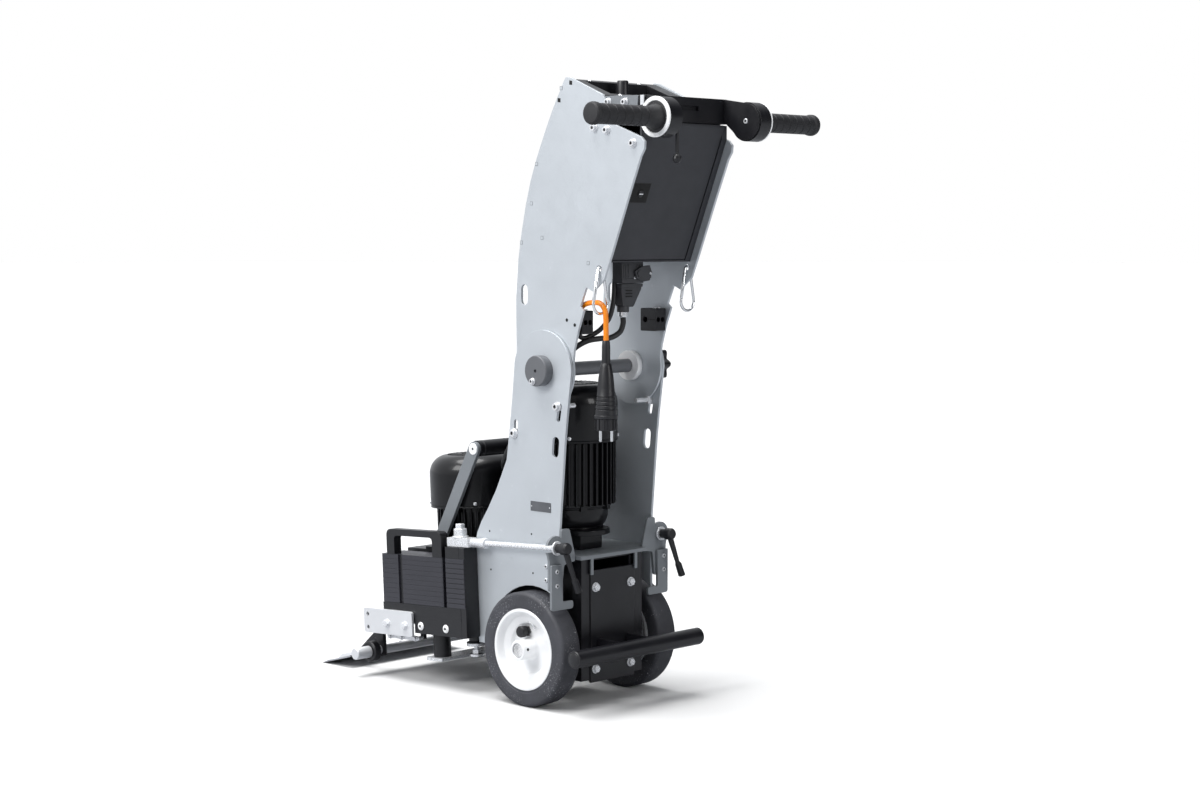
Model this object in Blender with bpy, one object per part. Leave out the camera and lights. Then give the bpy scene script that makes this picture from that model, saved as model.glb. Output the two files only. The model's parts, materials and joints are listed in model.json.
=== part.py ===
"""Walk-behind floor stripper with a folding operator column.

Lengths in this file are millimetres, and Part turns them into metres. +Z is up, -Y is the blade end,
+Y is the operator's end and +X is the machine's left side. The drive axle lies above Y = 0 while the
pieces are made, and MACHINE_SHIFT then moves the whole machine so that its box is centred on the origin.
"""

import math

import bmesh
import bpy
from mathutils import Matrix, Vector

MM = 0.001
GAP = 0.3  # clearance between pieces that touch

# Driving dimensions
WHEEL_R = 100.0
WHEEL_OUT = 143.0
WHEEL_IN = 98.0
PLATE = 5.0  # thickness of the side plates
LOWER_IN = 112.0  # inner face of the chassis side plates
UPPER_IN = 106.0  # inner face of the column side plates
BOX_HALF = UPPER_IN - GAP
PIVOT_Y = 24.0
PIVOT_Z = 584.0
PIVOT_R = 70.0  # round ends of the side plates about the fold pivot
HANDLE_Y = 297.0
HANDLE_Z = 1006.0
HUB_R = 33.0
TIP_Y = -557.0  # blade edge, on the floor
UNIT_Y = -132.0  # reference point of the tilted blade unit
UNIT_Z = 62.0
UNIT_TILT = 3.0  # degrees nose-down
ROD_X = 131.0
ROD_Z = 210.0  # tie-rod height in the blade unit
ROD_BOLT_Y = -28.0
WEIGHT_IN = 97.0
WEIGHT_OUT = 150.0
ROLLER = (-272.0, -4.0)  # guide-roller axis in the blade unit
BLADE_HALF = 140.0
BLADE_ANGLE = 12.0  # against the blade unit's base
DRIVE_MOTOR_Y = -28.0
BLADE_MOTOR_Y = -124.0
CORD_R = 4.5
CABLE_R = 4.8
MACHINE_SHIFT = -(TIP_Y + HANDLE_Y + HUB_R) / 2


def to_unit(y, z):
    """A machine point in the tilted blade unit's own coordinates."""
    turn = math.radians(UNIT_TILT)
    dy, dz = y - UNIT_Y, z - UNIT_Z
    return math.cos(turn) * dy + math.sin(turn) * dz, math.cos(turn) * dz - math.sin(turn) * dy


UNIT_FRAME = Matrix.Translation((0, UNIT_Y, UNIT_Z)) @ Matrix.Rotation(math.radians(UNIT_TILT), 4, "X")

# Each body's pivot, in machine coordinates
BODIES = {
    "chassis": (0, 0, 0),
    "drive_axle": (0, 0, WHEEL_R),
    "pinion": (0, 0, 143),
    "wheel_left": (120, 0, WHEEL_R),
    "wheel_right": (-120, 0, WHEEL_R),
    "plunger_left": (120, -10, 129.3),
    "plunger_right": (-120, -10, 129.3),
    "tie_rod_left": UNIT_FRAME @ Vector((ROD_X, ROD_BOLT_Y, ROD_Z)),
    "tie_rod_right": UNIT_FRAME @ Vector((-ROD_X, ROD_BOLT_Y, ROD_Z)),
    "clamp_lever_left": UNIT_FRAME @ Vector((ROD_X, 220, ROD_Z)),
    "clamp_lever_right": UNIT_FRAME @ Vector((-ROD_X, 220, ROD_Z)),
    "weight_left": UNIT_FRAME @ Vector((122, -140, 93)),
    "weight_right": UNIT_FRAME @ Vector((-122, -140, 93)),
    "eccentric": UNIT_FRAME @ Vector((0, BLADE_MOTOR_Y, 60)),
    "blade_head": UNIT_FRAME @ Vector((0, -250, 36)),
    "guide_roller": UNIT_FRAME @ Vector((0, *ROLLER)),
    "column": (0, PIVOT_Y, PIVOT_Z),
    "pivot_knob": (-130, PIVOT_Y, PIVOT_Z),
    "handle_left": (128, HANDLE_Y, HANDLE_Z),
    "handle_right": (-128, HANDLE_Y, HANDLE_Z),
    "control_lever": (85, HANDLE_Y, HANDLE_Z),
    "control_knob": (10, 112, 1040),
    "connector_latch": (-8, 118, 750),
    "carabiner_right": (-108.5, 155, 761.5),
}


def clear_scene():
    for obj in list(bpy.data.objects):
        bpy.data.objects.remove(obj, do_unlink=True)


def make_empties():
    machine = bpy.data.objects.new("machine", None)
    machine.location = (0, MACHINE_SHIFT * MM, 0)
    bpy.context.collection.objects.link(machine)
    empties = {}
    for name, pivot in BODIES.items():
        empty = bpy.data.objects.new("body_" + name, None)
        empty.location = Vector(pivot) * MM
        empty.parent = machine
        bpy.context.collection.objects.link(empty)
        empties[name] = empty
    return empties


def paint(name, rgb, roughness, metallic):
    material = bpy.data.materials.new(name)
    material.use_nodes = True
    shader = material.node_tree.nodes["Principled BSDF"]
    shader.inputs["Base Color"].default_value = (*rgb, 1)
    shader.inputs["Roughness"].default_value = roughness
    shader.inputs["Metallic"].default_value = metallic
    material.diffuse_color = (*rgb, 1)
    return material


FINISHES = {
    "silver_paint": ((0.56, 0.60, 0.65), 0.4, 0.35),
    "grey_paint": ((0.22, 0.24, 0.26), 0.45, 0.2),
    "black_paint": ((0.03, 0.03, 0.035), 0.4, 0.1),
    "charcoal": ((0.06, 0.06, 0.07), 0.55, 0.0),
    "zinc": ((0.72, 0.73, 0.75), 0.25, 1.0),
    "steel": ((0.5, 0.51, 0.53), 0.3, 1.0),
    "rim_silver": ((0.85, 0.86, 0.88), 0.35, 0.6),
    "tyre": ((0.09, 0.09, 0.10), 0.7, 0.0),
    "grip": ((0.02, 0.02, 0.022), 0.75, 0.0),
    "orange": ((0.95, 0.35, 0.02), 0.5, 0.0),
    "black_plastic": ((0.035, 0.035, 0.04), 0.5, 0.0),
}


class Part:
    """One named solid. Its shape is a bmesh in millimetres, in machine or blade-unit coordinates."""

    def __init__(self, name, shape, finish, body="chassis", unit=False):
        self.name = name
        self.body = body
        frame = UNIT_FRAME if unit else Matrix.Identity(4)
        self.place = Matrix.Scale(MM, 4) @ Matrix.Translation(-Vector(BODIES[body])) @ frame
        self.obj = self.link(name, shape)
        self.obj.data.materials.append(paint(name, *FINISHES[finish]))

    def link(self, name, shape):
        bmesh.ops.recalc_face_normals(shape, faces=shape.faces)
        shape.transform(self.place)
        mesh = bpy.data.meshes.new(name)
        shape.to_mesh(mesh)
        shape.free()
        obj = bpy.data.objects.new(name, mesh)
        obj.parent = EMPTIES[self.body]
        bpy.context.collection.objects.link(obj)
        return obj

    def boolean(self, operation, shapes):
        for index, shape in enumerate(shapes):
            label = f"{operation.lower()}_{self.name}_{len(self.obj.modifiers)}_{index}"
            tool = self.link(label, shape)
            tool.hide_render = True
            tool.display_type = "WIRE"
            modifier = self.obj.modifiers.new(label, "BOOLEAN")
            modifier.operation = operation
            modifier.object = tool
        return self

    def cut(self, *shapes):
        return self.boolean("DIFFERENCE", shapes)

    def add(self, *shapes):
        return self.boolean("UNION", shapes)

    def smooth(self, degrees=35):
        self.obj.data.shade_smooth()
        self.obj.data.set_sharp_from_angle(angle=math.radians(degrees))
        return self


def at(axis, along, a, b):
    """A point from its distance along an axis and its two other coordinates, in x, y, z order."""
    return {"x": (along, a, b), "y": (a, along, b), "z": (a, b, along)}[axis]


def prism(outline, axis, low, high):
    """A flat outline, in the two other axes' order, drawn out along an axis."""
    shape = bmesh.new()
    ends = [[shape.verts.new(at(axis, along, *point)) for point in outline] for along in (low, high)]
    shape.faces.new(ends[0])
    shape.faces.new(reversed(ends[1]))
    count = len(outline)
    for i in range(count):
        j = (i + 1) % count
        shape.faces.new((ends[0][i], ends[0][j], ends[1][j], ends[1][i]))
    return shape


def block(x, y, z):
    """A box from three (low, high) pairs."""
    outline = [(x[0], y[0]), (x[1], y[0]), (x[1], y[1]), (x[0], y[1])]
    return prism(outline, "z", *z)


def turned(profile, axis, centre, segments=32):
    """(radius, distance) points turned about an axis: a solid if both ends are on it, otherwise a ring."""
    shape = bmesh.new()
    index = "xyz".index(axis)
    others = [centre[i] for i in range(3) if i != index]
    rings = []
    for radius, along in profile:
        ring = []
        for i in range(segments if radius > 0 else 1):
            turn = 2 * math.pi * i / segments
            a = others[0] + radius * math.cos(turn)
            b = others[1] + radius * math.sin(turn)
            ring.append(shape.verts.new(at(axis, centre[index] + along, a, b)))
        rings.append(ring)
    pairs = list(zip(rings, rings[1:]))
    if profile[0][0] > 0:
        pairs.append((rings[-1], rings[0]))
    for first, second in pairs:
        for i in range(segments):
            j = (i + 1) % segments
            corners = [first[i % len(first)], first[j % len(first)]]
            corners += [second[j % len(second)], second[i % len(second)]]
            shape.faces.new(list(dict.fromkeys(corners)))
    return shape


def cylinder(axis, centre, radius, low, high, segments=24):
    profile = [(0, low), (radius, low), (radius, high), (0, high)]
    return turned(profile, axis, centre, segments)


def arc(centre, radius, start, end, count):
    """Points on an arc, angles in degrees."""
    points = []
    for i in range(count):
        turn = math.radians(start + (end - start) * i / (count - 1))
        points.append((centre[0] + radius * math.cos(turn), centre[1] + radius * math.sin(turn)))
    return points


def slot(centre, width, length, lean=0.0, count=7):
    """The outline of a round-ended slot, upright but for a lean in degrees."""
    half = (length - width) / 2
    reach = (half * math.sin(math.radians(lean)), half * math.cos(math.radians(lean)))
    top = (centre[0] + reach[0], centre[1] + reach[1])
    bottom = (centre[0] - reach[0], centre[1] - reach[1])
    points = arc(top, width / 2, -lean, 180 - lean, count)
    return points + arc(bottom, width / 2, 180 - lean, 360 - lean, count)


def mirrored(outline):
    return [(-a, b) for a, b in outline]


def swept_loop(path, radius, sides):
    """A closed round bar along a closed path in a plane of constant y."""
    shape = bmesh.new()
    rings = []
    count = len(path)
    for i, point in enumerate(path):
        ahead = Vector(path[(i + 1) % count]) - Vector(path[i - 1])
        across = ahead.cross(Vector((0, 1, 0))).normalized()
        ring = []
        for k in range(sides):
            turn = 2 * math.pi * k / sides
            offset = across * math.cos(turn) + Vector((0, 1, 0)) * math.sin(turn)
            ring.append(shape.verts.new(Vector(point) + offset * radius))
        rings.append(ring)
    for first, second in zip(rings, rings[1:] + rings[:1]):
        for k in range(sides):
            j = (k + 1) % sides
            shape.faces.new((first[k], first[j], second[j], second[k]))
    return shape


def smooth_path(points, count):
    """Evenly numbered points on a Catmull-Rom curve through the route's own points."""
    route = [Vector(p) for p in points]
    route = [2 * route[0] - route[1]] + route + [2 * route[-1] - route[-2]]
    spans = len(route) - 3
    path = []
    for i in range(count):
        t = spans * i / (count - 1)
        k = min(int(t), spans - 1)
        u = t - k
        a, b, c, d = route[k : k + 4]
        path.append(
            0.5 * (2 * b + (c - a) * u + (2 * a - 5 * b + 4 * c - d) * u**2
                   + (3 * b - 3 * c + d - a) * u**3)
        )
    return path


def cable(name, route, radius, finish, count):
    """A cable as a bevelled curve, riding on the column."""
    curve = bpy.data.curves.new(name, "CURVE")
    curve.dimensions = "3D"
    curve.bevel_depth = radius * MM
    curve.bevel_resolution = 2
    curve.use_fill_caps = True
    spline = curve.splines.new("POLY")
    path = smooth_path(route, count)
    spline.points.add(len(path) - 1)
    pivot = Vector(BODIES["column"])
    for target, point in zip(spline.points, path):
        target.co = (*((point - pivot) * MM), 1)
    obj = bpy.data.objects.new(name, curve)
    obj.parent = EMPTIES["column"]
    bpy.context.collection.objects.link(obj)
    curve.materials.append(paint(name, *FINISHES[finish]))


# ---------------------------------------------------------------- chassis


def lower_plate_outline():
    """(y, z) outline of a chassis side plate: round top, hollow front edge and a wheel arch."""
    rear = [(83, 503), (78, 459), (72, 386), (65, 304)]
    arch = arc((0, WHEEL_R), 109, 53, 184, 15)
    front = [(-138, 92), (-144, 131), (-147, 206), (-148, 261), (-143, 288), (-132, 309), (-114, 335)]
    front += [(-93, 369), (-78, 399), (-66, 424), (-58, 479), (-51, 536)]
    top = arc((PIVOT_Y, PIVOT_Z), PIVOT_R, 180, 0, 21)
    return rear + arch + front + top


def make_side_plates():
    for side, sign in (("left", 1), ("right", -1)):
        low, high = sorted((sign * LOWER_IN, sign * (LOWER_IN + PLATE)))
        plate = Part("side_plate_" + side, prism(lower_plate_outline(), "x", low, high), "silver_paint")
        through = (low - 5, high + 5)
        plate.cut(
            cylinder("x", (0, PIVOT_Y, PIVOT_Z), 12.3, *through),
            prism(slot((65, 514), 9, 32, 10), "x", *through),
            prism(slot((-42, 480), 9, 32, 0), "x", *through),
            prism(slot((56, 454), 16, 36, 5), "x", *through),
        )


def make_gearbox():
    """A sheet-steel gear case between the wheels, open to the rear, with its bolted cover."""
    housing = Part("gearbox_housing", block((-50, 50), (-60, 74.5), (42, 257.7)), "black_paint")
    housing.add(block((-60, 60), (60, 70), (50, 250)))
    for sign in (1, -1):
        housing.add(block(sorted((sign * 56, sign * 76)), (55, 77.7), (45, 257)))
    housing.cut(
        block((-46, 46), (-56, 90), (46, 253.7)),
        cylinder("x", (0, 0, WHEEL_R), 13, -90, 90),
        cylinder("z", (0, 0, 0), 9, 240, 270),
    )
    Part("gearbox_cover", block((-55, 55), (74.5 + GAP, 80), (40, 237)), "black_paint")


def make_motor_mount():
    """A shelf between the side plates, narrower behind them, with two tabs folded down."""
    edge = LOWER_IN - GAP
    outline = [(-edge, -60), (edge, -60), (edge, 60), (83, 60), (83, 84), (-83, 84), (-83, 60), (-edge, 60)]
    shelf = Part("motor_mount_plate", prism(outline, "z", 258, 264), "black_paint")
    shelf.cut(cylinder("z", (0, 0, 0), 12, 250, 270))
    shelf.add(block((52, 58), (80.4, 83.7), (230, 260)), block((-58, -52), (80.4, 83.7), (230, 260)))


def finned_outline(centre_y, radius, depth, fins):
    """(x, y) outline of a round motor body with lengthwise fins."""
    points = []
    step = 360 / fins
    for i in range(fins):
        for offset, r in ((-0.3, radius - depth), (-0.17, radius), (0.17, radius), (0.3, radius - depth)):
            turn = math.radians(step * (i + offset))
            points.append((r * math.cos(turn), centre_y + r * math.sin(turn)))
    return points


def cowl(radius, low, high):
    """A thin fan cowl, open below, with a domed top."""
    wall = 2.0
    crown = high - low
    profile = [(0, crown), (radius * 0.62, crown), (radius * 0.84, crown - 5), (radius * 0.96, crown - 16)]
    profile += [(radius, crown - 34), (radius, 0), (radius - wall, 0), (radius - wall, crown - 34.5)]
    profile += [(radius * 0.96 - wall, crown - 17), (radius * 0.84 - wall, crown - 7)]
    profile += [(radius * 0.62 - wall, crown - wall), (0, crown - wall)]
    return profile


def make_drive_motor():
    """The upright drive motor with its terminal box, on a neck and a reducer over the gear case."""
    body = prism(finned_outline(DRIVE_MOTOR_Y, 83, 9, 34), "z", 343, 453)
    motor = Part("drive_motor", body, "black_paint")
    motor.add(
        block((-27, 27), (-30, 27), (264 + GAP, 292)),
        cylinder("z", (0, 0, 0), 52, 290.5, 300, 32),
        turned([(0, 299), (60, 299), (63, 303), (69, 320), (69, 337), (0, 337)], "z", (0, DRIVE_MOTOR_Y, 0), 32),
        cylinder("z", (0, DRIVE_MOTOR_Y, 0), 70, 336, 345, 32),
        cylinder("z", (0, DRIVE_MOTOR_Y, 0), 72, 450, 462, 32),
        block((-40, 40), (-150, -98), (350, 430)),
    )
    motor.cut(cylinder("z", (0, 0, 0), 9, 255, 285))
    shell = turned(cowl(86, 454, 555), "z", (0, DRIVE_MOTOR_Y, 454), 36)
    Part("drive_motor_cowl", shell, "black_paint").smooth()


def make_bumper():
    bar = Part("bumper_bar", cylinder("x", (0, 140, 103), 15, -157, 157, 28), "black_paint").smooth()
    bar.add(block((33, 39), (80 + GAP, 138), (90, 116)), block((-39, -33), (80 + GAP, 138), (90, 116)))


def make_brackets():
    """The rear brackets: each holds a tie rod in a slot open to the side, and carries a wheel scraper."""
    rod_height = 283.0
    outline = [(84.5, 256.5), (84.5, 266), (97, 308), (102, 313), (116, 313), (118, 300)]
    outline += arc((ROD_X, rod_height), 21, 120, -35, 12)
    outline += [(146, 262), (146, 209), (116, 209), (111, 250)]
    scraper = [(97, 176), (143, 176), (146, 179), (146, 255), (119, 255), (119, 190), (97, 190), (94, 187), (94, 179)]
    for side, sign in (("left", 1), ("right", -1)):
        shape = outline if sign > 0 else mirrored(outline)
        bracket = Part("clamp_bracket_" + side, prism(shape, "y", 66, 71), "grey_paint")
        mouth = sorted((sign * 124, sign * 165))
        bracket.cut(block(mouth, (60, 80), (rod_height - 6, rod_height + 6)))
        shape = scraper if sign > 0 else mirrored(scraper)
        Part("wheel_scraper_" + side, prism(shape, "y", 71.3, 76.3), "grey_paint")


def make_pivot():
    """The fold pivot: a cross rod with two inner collars and a round head on the left."""
    reach = LOWER_IN + PLATE + GAP
    profile = [(0, -reach), (12, -reach), (12, -105.5), (26.5, -105.5), (26.5, -94.7), (12, -94.7)]
    profile += [(12, 94.7), (26.5, 94.7), (26.5, 105.5), (12, 105.5), (12, reach)]
    profile += [(26.5, reach), (26.5, 134), (0, 134)]
    Part("pivot_rod", turned(profile, "x", (0, PIVOT_Y, PIVOT_Z), 32), "grey_paint").smooth()
    lobes = []
    for i in range(56):
        turn = 2 * math.pi * i / 56
        radius = 27 + 4 * math.cos(7 * turn)
        lobes.append((PIVOT_Y + radius * math.cos(turn), PIVOT_Z + radius * math.sin(turn)))
    knob = Part("pivot_knob", prism(lobes, "x", -177, -157), "black_plastic", "pivot_knob")
    knob.add(cylinder("x", (0, PIVOT_Y, PIVOT_Z), 14, -160, -(reach + GAP)))


# ---------------------------------------------------------------- wheels and drive


def make_axle():
    """The axle with its two drive flanges and the crown gear that the pinion turns."""
    centre = (0, 0, WHEEL_R)
    profile = [(0, -153), (12.5, -153), (12.5, -106), (44, -106), (44, -101), (12.5, -101), (12.5, 13)]
    profile += [(50, 13), (50, 20), (24, 24), (24, 40), (12.5, 40)]
    profile += [(12.5, 101), (44, 101), (44, 106), (12.5, 106), (12.5, 153), (0, 153)]
    axle = Part("drive_axle", turned(profile, "x", centre, 32), "steel", "drive_axle").smooth()
    for sign in (1, -1):
        span = sorted((sign * 98, sign * 109))
        axle.cut(cylinder("x", (0, -10, 129.3), 4.6, *span, 12))
    shaft = [(0, 136), (12.4, 136), (12.4, 150), (8, 150), (8, 280), (0, 280)]
    Part("pinion_shaft", turned(shaft, "z", (0, 0, 0), 20), "steel", "pinion").smooth()


def make_wheels():
    tread = [(71.8, 98.5), (94, 98), (98.5, 101), (WHEEL_R, 106), (WHEEL_R, 135), (98.5, 140)]
    tread += [(94, WHEEL_OUT), (71.8, 142.5)]
    rim = [(71.5, 98.5), (71.5, 142.5), (66, 142.5), (62, 139), (58, 131), (46, 129), (43, 121)]
    rim += [(19, 121), (17.5, 124), (17.5, 155), (12.8, 155), (12.8, 108), (24, 108), (26, 115), (47, 115), (50, 124)]
    rim += [(60, 125), (65.5, 98.5)]
    pin = [(0, 101.5), (4, 101.5), (4, 121.3), (7, 121.3), (7, 129), (10, 129), (10, 139), (8, 141), (0, 141)]
    centre = (0, 0, WHEEL_R)
    pin_centre = (0, -10, 129.3)
    for side, sign in (("left", 1), ("right", -1)):
        body = "wheel_" + side
        profile = [(r, sign * x) for r, x in tread]
        Part("wheel_tyre_" + side, turned(profile, "x", centre, 48), "tyre", body).smooth()
        profile = [(r, sign * x) for r, x in rim]
        wheel = Part("wheel_rim_" + side, turned(profile, "x", centre, 36), "rim_silver", body).smooth()
        wheel.cut(cylinder("x", pin_centre, 4.4, *sorted((sign * 112, sign * 124)), 12))
        profile = [(r, sign * x) for r, x in pin]
        plunger = turned(profile, "x", pin_centre, 16)
        Part("index_plunger_" + side, plunger, "black_plastic", "plunger_" + side).smooth()


# ---------------------------------------------------------------- blade unit, in its own tilted frame


def make_front_housing():
    """The cast body between the weights, open below, with the trays and posts at its sides."""
    housing = Part("front_housing", block((-85, 85), (-228, -5), (44, 185.7)), "black_paint", unit=True)
    housing.add(block((-150, 150), (-227, -14), (68.5, 92.5)))
    for sign in (1, -1):
        housing.add(
            block(sorted((sign * 97, sign * 149.7)), (-141, -14.5), (40.3, 75)),
            block(sorted((sign * 108, sign * 149.8)), (-50, -14.2), (90, 202)),
            block(sorted((sign * 118.5, sign * 149.5)), (-16, -0.5), (40.6, 201.6)),
            cylinder("z", (sign * 105, -25, 0), 5, 1.5, 45, 16),
            cylinder("z", (sign * 105, -25, 0), 18, 22, 28, 24),
            cylinder("z", (sign * 105, -25, 0), 12.5, 1, 7, 20),
        )
    housing.add(block((-95, 95), (-165, -20), (185, 192)))
    housing.cut(
        block((-79, 79), (-222, -11), (30, 179.7)),
        cylinder("z", (0, BLADE_MOTOR_Y, 0), 12, 170, 200),
    )


def make_blade_motor():
    body = prism(finned_outline(BLADE_MOTOR_Y, 75, 8, 34), "z", 200, 258)
    motor = Part("blade_motor", body, "black_paint", unit=True)
    motor.add(
        cylinder("z", (0, BLADE_MOTOR_Y, 0), 70, 192 + GAP, 204, 32),
        cylinder("z", (0, BLADE_MOTOR_Y, 0), 70, 254, 280, 32),
    )
    shell = turned(cowl(86, 261, 357), "z", (0, BLADE_MOTOR_Y, 261), 36)
    Part("blade_motor_cowl", shell, "black_paint", unit=True).smooth()
    shaft = turned([(0, 82), (10, 82), (10, 192), (0, 192)], "z", (0, BLADE_MOTOR_Y, 0), 20)
    eccentric = Part("eccentric_shaft", shaft, "steel", "eccentric", True).smooth()
    eccentric.add(
        cylinder("z", (0, BLADE_MOTOR_Y, 0), 30, 60, 84, 28),
        cylinder("z", (4, BLADE_MOTOR_Y, 0), 8, 28, 62, 16),
    )


def make_lift_frame():
    """Two flat arms up from the base plate, and the cross tube that the unit is lifted by."""
    top = (-25.0, 373.5)
    lean = math.atan2(92, 151)
    foot_y = top[0] - (top[1] - 192 - GAP) * math.tan(lean)
    half = 13.0 / math.cos(lean)
    turn = math.degrees(lean)
    outline = arc(top, 13, -turn, 180 - turn, 11) + [(foot_y - half, 192 + GAP), (foot_y + half, 192 + GAP)]
    for side, sign in (("left", 1), ("right", -1)):
        span = sorted((sign * 87.5, sign * 95))
        Part("lift_arm_" + side, prism(outline, "x", *span), "grey_paint", unit=True)
    grip = cylinder("x", (0, *top), 14.5, -87.5 + GAP, 87.5 - GAP, 24)
    Part("lift_grip", grip, "charcoal", unit=True).smooth()


def make_weights():
    """A stack of thin steel slabs on each tray, under its D-handle. It lifts straight off."""
    slabs = 10
    low, high = 92.5 + GAP, 182.0
    pitch = (high - low) / slabs
    outer = [(WEIGHT_OUT, low)]
    for i in range(1, slabs):
        z = low + i * pitch
        outer += [(WEIGHT_OUT, z - 0.5), (WEIGHT_OUT - 1, z), (WEIGHT_OUT, z + 0.5)]
    outer += [(WEIGHT_OUT, high), (WEIGHT_IN, high), (WEIGHT_IN, low)]
    handle = [(-213, 180), (-213, 214), (-209, 223), (-200, 228), (-72, 228), (-63, 223), (-59, 214), (-59, 180)]
    opening = [(-190, 182), (-85, 182), (-85, 208), (-88, 213.5), (-94, 216)]
    opening += [(-181, 216), (-187, 213.5), (-190, 208)]
    for side, sign in (("left", 1), ("right", -1)):
        shape = outer if sign > 0 else mirrored(outer)
        stack = Part("weight_" + side, prism(shape, "y", -226, -59), "charcoal", "weight_" + side, True)
        stack.cut(block(sorted((sign * 147, sign * 155)), (-180, -169), (80, 190)))
        grip = prism(handle, "x", *sorted((sign * 133, sign * WEIGHT_OUT)))
        stack.add(grip)
        stack.cut(prism(opening, "x", *sorted((sign * 125, sign * 160))))


def make_tie_rods():
    """Swing bolts: an eye on the post, a long rod, a washer behind the bracket and a lever nut."""
    for side, sign in (("left", 1), ("right", -1)):
        x = sign * ROD_X
        eye = block(sorted((sign * 118.5, sign * 144)), (-40, 5), (202 + GAP, 218))
        rod = Part("tie_rod_" + side, eye, "zinc", "tie_rod_" + side, True)
        rod.add(
            cylinder("z", (x, ROD_BOLT_Y, 0), 13, 217, 223, 20),
            cylinder("z", (x, ROD_BOLT_Y, 0), 12, 221, 241, 6),
            cylinder("y", (x, 0, ROD_Z), 8.5, 4, 29, 6),
            cylinder("y", (x, 0, ROD_Z), 9.5, 28, 40, 16),
            cylinder("y", (x, 0, ROD_Z), 5, 38, 217, 16),
            cylinder("y", (x, 0, ROD_Z), 12.5, 215.5, 219, 24),
        )
        hub = turned([(0, 219 + GAP), (8, 219 + GAP), (8, 229), (10.5, 230), (10.5, 242), (8.5, 245), (0, 245)],
                     "y", (x, 0, ROD_Z), 20)
        lever = Part("clamp_lever_" + side, hub, "black_plastic", "clamp_lever_" + side, True).smooth()
        lever.add(lever_arm(x))


def lever_arm(x):
    """A flat tapering arm that hangs from the lever's hub, leaning towards -X, with a thicker end."""
    shape = bmesh.new()
    stations = ((0, 236, 6.5, 4.5), (54, 239, 4.5, 3.5), (58, 240, 6, 6), (80, 242, 6.5, 6.5))
    lean = math.radians(17)
    rings = []
    for along, y, half_width, half_depth in stations:
        centre = Vector((x - along * math.sin(lean), y, ROD_Z - along * math.cos(lean)))
        across = Vector((math.cos(lean), 0, -math.sin(lean)))
        ring = []
        for k in range(10):
            turn = 2 * math.pi * k / 10
            offset = across * half_width * math.cos(turn) + Vector((0, half_depth * math.sin(turn), 0))
            ring.append(shape.verts.new(centre + offset))
        rings.append(ring)
    for first, second in zip(rings, rings[1:]):
        for k in range(10):
            j = (k + 1) % 10
            shape.faces.new((first[k], first[j], second[j], second[k]))
    shape.faces.new(rings[0])
    shape.faces.new(rings[-1])
    return shape


def make_blade_head():
    """The oscillating carrier with its side brackets, the blade, its clamp jaw and the guide roller."""
    carrier = Part("blade_carrier", block((-150, 150), (-276, -233), (40, 66)), "zinc", "blade_head", True)
    tip_y, tip_z = to_unit(TIP_Y, 0)
    slope = math.tan(math.radians(BLADE_ANGLE))
    near, far = (tip_z + (y - tip_y) * slope + 9.6 for y in (-343, -372))
    arm = [(-372, far), (-343, near), (-274, 33.2), (-252, 33.2), (-252, 45), (-277, 45)]
    arm += [(-347, near + 4), (-372, far + 3.5)]
    for sign in (1, -1):
        carrier.add(
            block(sorted((sign * 97, sign * 152)), (-274, -151), (40.5, 65.5)),
            block(sorted((sign * 150.4, sign * 156)), (-275.5, -142), (33, 79)),
            prism(arm, "x", *sorted((sign * 98, sign * 112))),
        )
        carrier.add(block(sorted((sign * 118, sign * 126)), (ROLLER[0] - 11, ROLLER[0] + 11), (-16, 42)))
    carrier.add(block((-34, 34), (-240, -96), (34, 41)))
    carrier.cut(cylinder("x", (0, *ROLLER), 8.9, -130, 130))
    carrier.cut(block((-20, 20), (BLADE_MOTOR_Y - 17, BLADE_MOTOR_Y + 17), (25, 45)))
    blade = [(tip_y, tip_z), (tip_y + 85, tip_z + 85 * slope), (tip_y + 85, tip_z + 85 * slope + 3)]
    blade += [(tip_y + 14, tip_z + 14 * slope + 3), (tip_y + 0.5, tip_z + 0.5)]
    Part("blade", prism(blade, "x", -BLADE_HALF, BLADE_HALF), "steel", "blade_head", True)
    low, high = 3 + GAP, 9.3
    jaw = [(tip_y + 26, tip_z + 26 * slope + low), (tip_y + 84, tip_z + 84 * slope + low)]
    jaw += [(tip_y + 84, tip_z + 84 * slope + high), (tip_y + 34, tip_z + 34 * slope + high)]
    Part("blade_clamp", prism(jaw, "x", -122, 122), "zinc", "blade_head", True)
    profile = [(0, -186), (11, -186), (11, -152), (19, -152), (19, -137), (8.5, -137)]
    profile += [(8.5, 137), (19, 137), (19, 152), (11, 152), (11, 186), (0, 186)]
    roller = turned(profile, "x", (0, *ROLLER), 24)
    Part("guide_roller", roller, "black_plastic", "guide_roller", True).smooth()


def make_support_foot():
    """Two short columns under the housing with a foot plate, for when the unit stands alone."""
    foot = Part("support_foot", block((-127, 127), (-140, -97), (-12, -6)), "black_paint", unit=True)
    for sign in (1, -1):
        foot.add(cylinder("z", (sign * 105, -118.5, 0), 16, -8, 40 - GAP, 20))


# ---------------------------------------------------------------- column


def upper_plate_outline():
    """(y, z) outline of a column side plate, with its hook tab and the notch below it."""
    rear = [(70, 1073), (76, 1081), (87, 1080), (163, 1048), (193, 997), (250, 976), (258, 968), (257, 956)]
    rear += [(249, 944), (221, 877), (184, 785), (166, 742), (140, 721), (124, 728), (110, 696)]
    rear += [(118, 689), (105, 656), (95, 622)]
    end = arc((PIVOT_Y, PIVOT_Z), PIVOT_R, 13, -180, 23)
    front = [(-46, 625), (-47, 703), (-41, 774), (-33, 819), (-23, 864), (-10, 909), (5, 947), (24, 988)]
    front += [(43, 1026)]
    return rear + end + front


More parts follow.
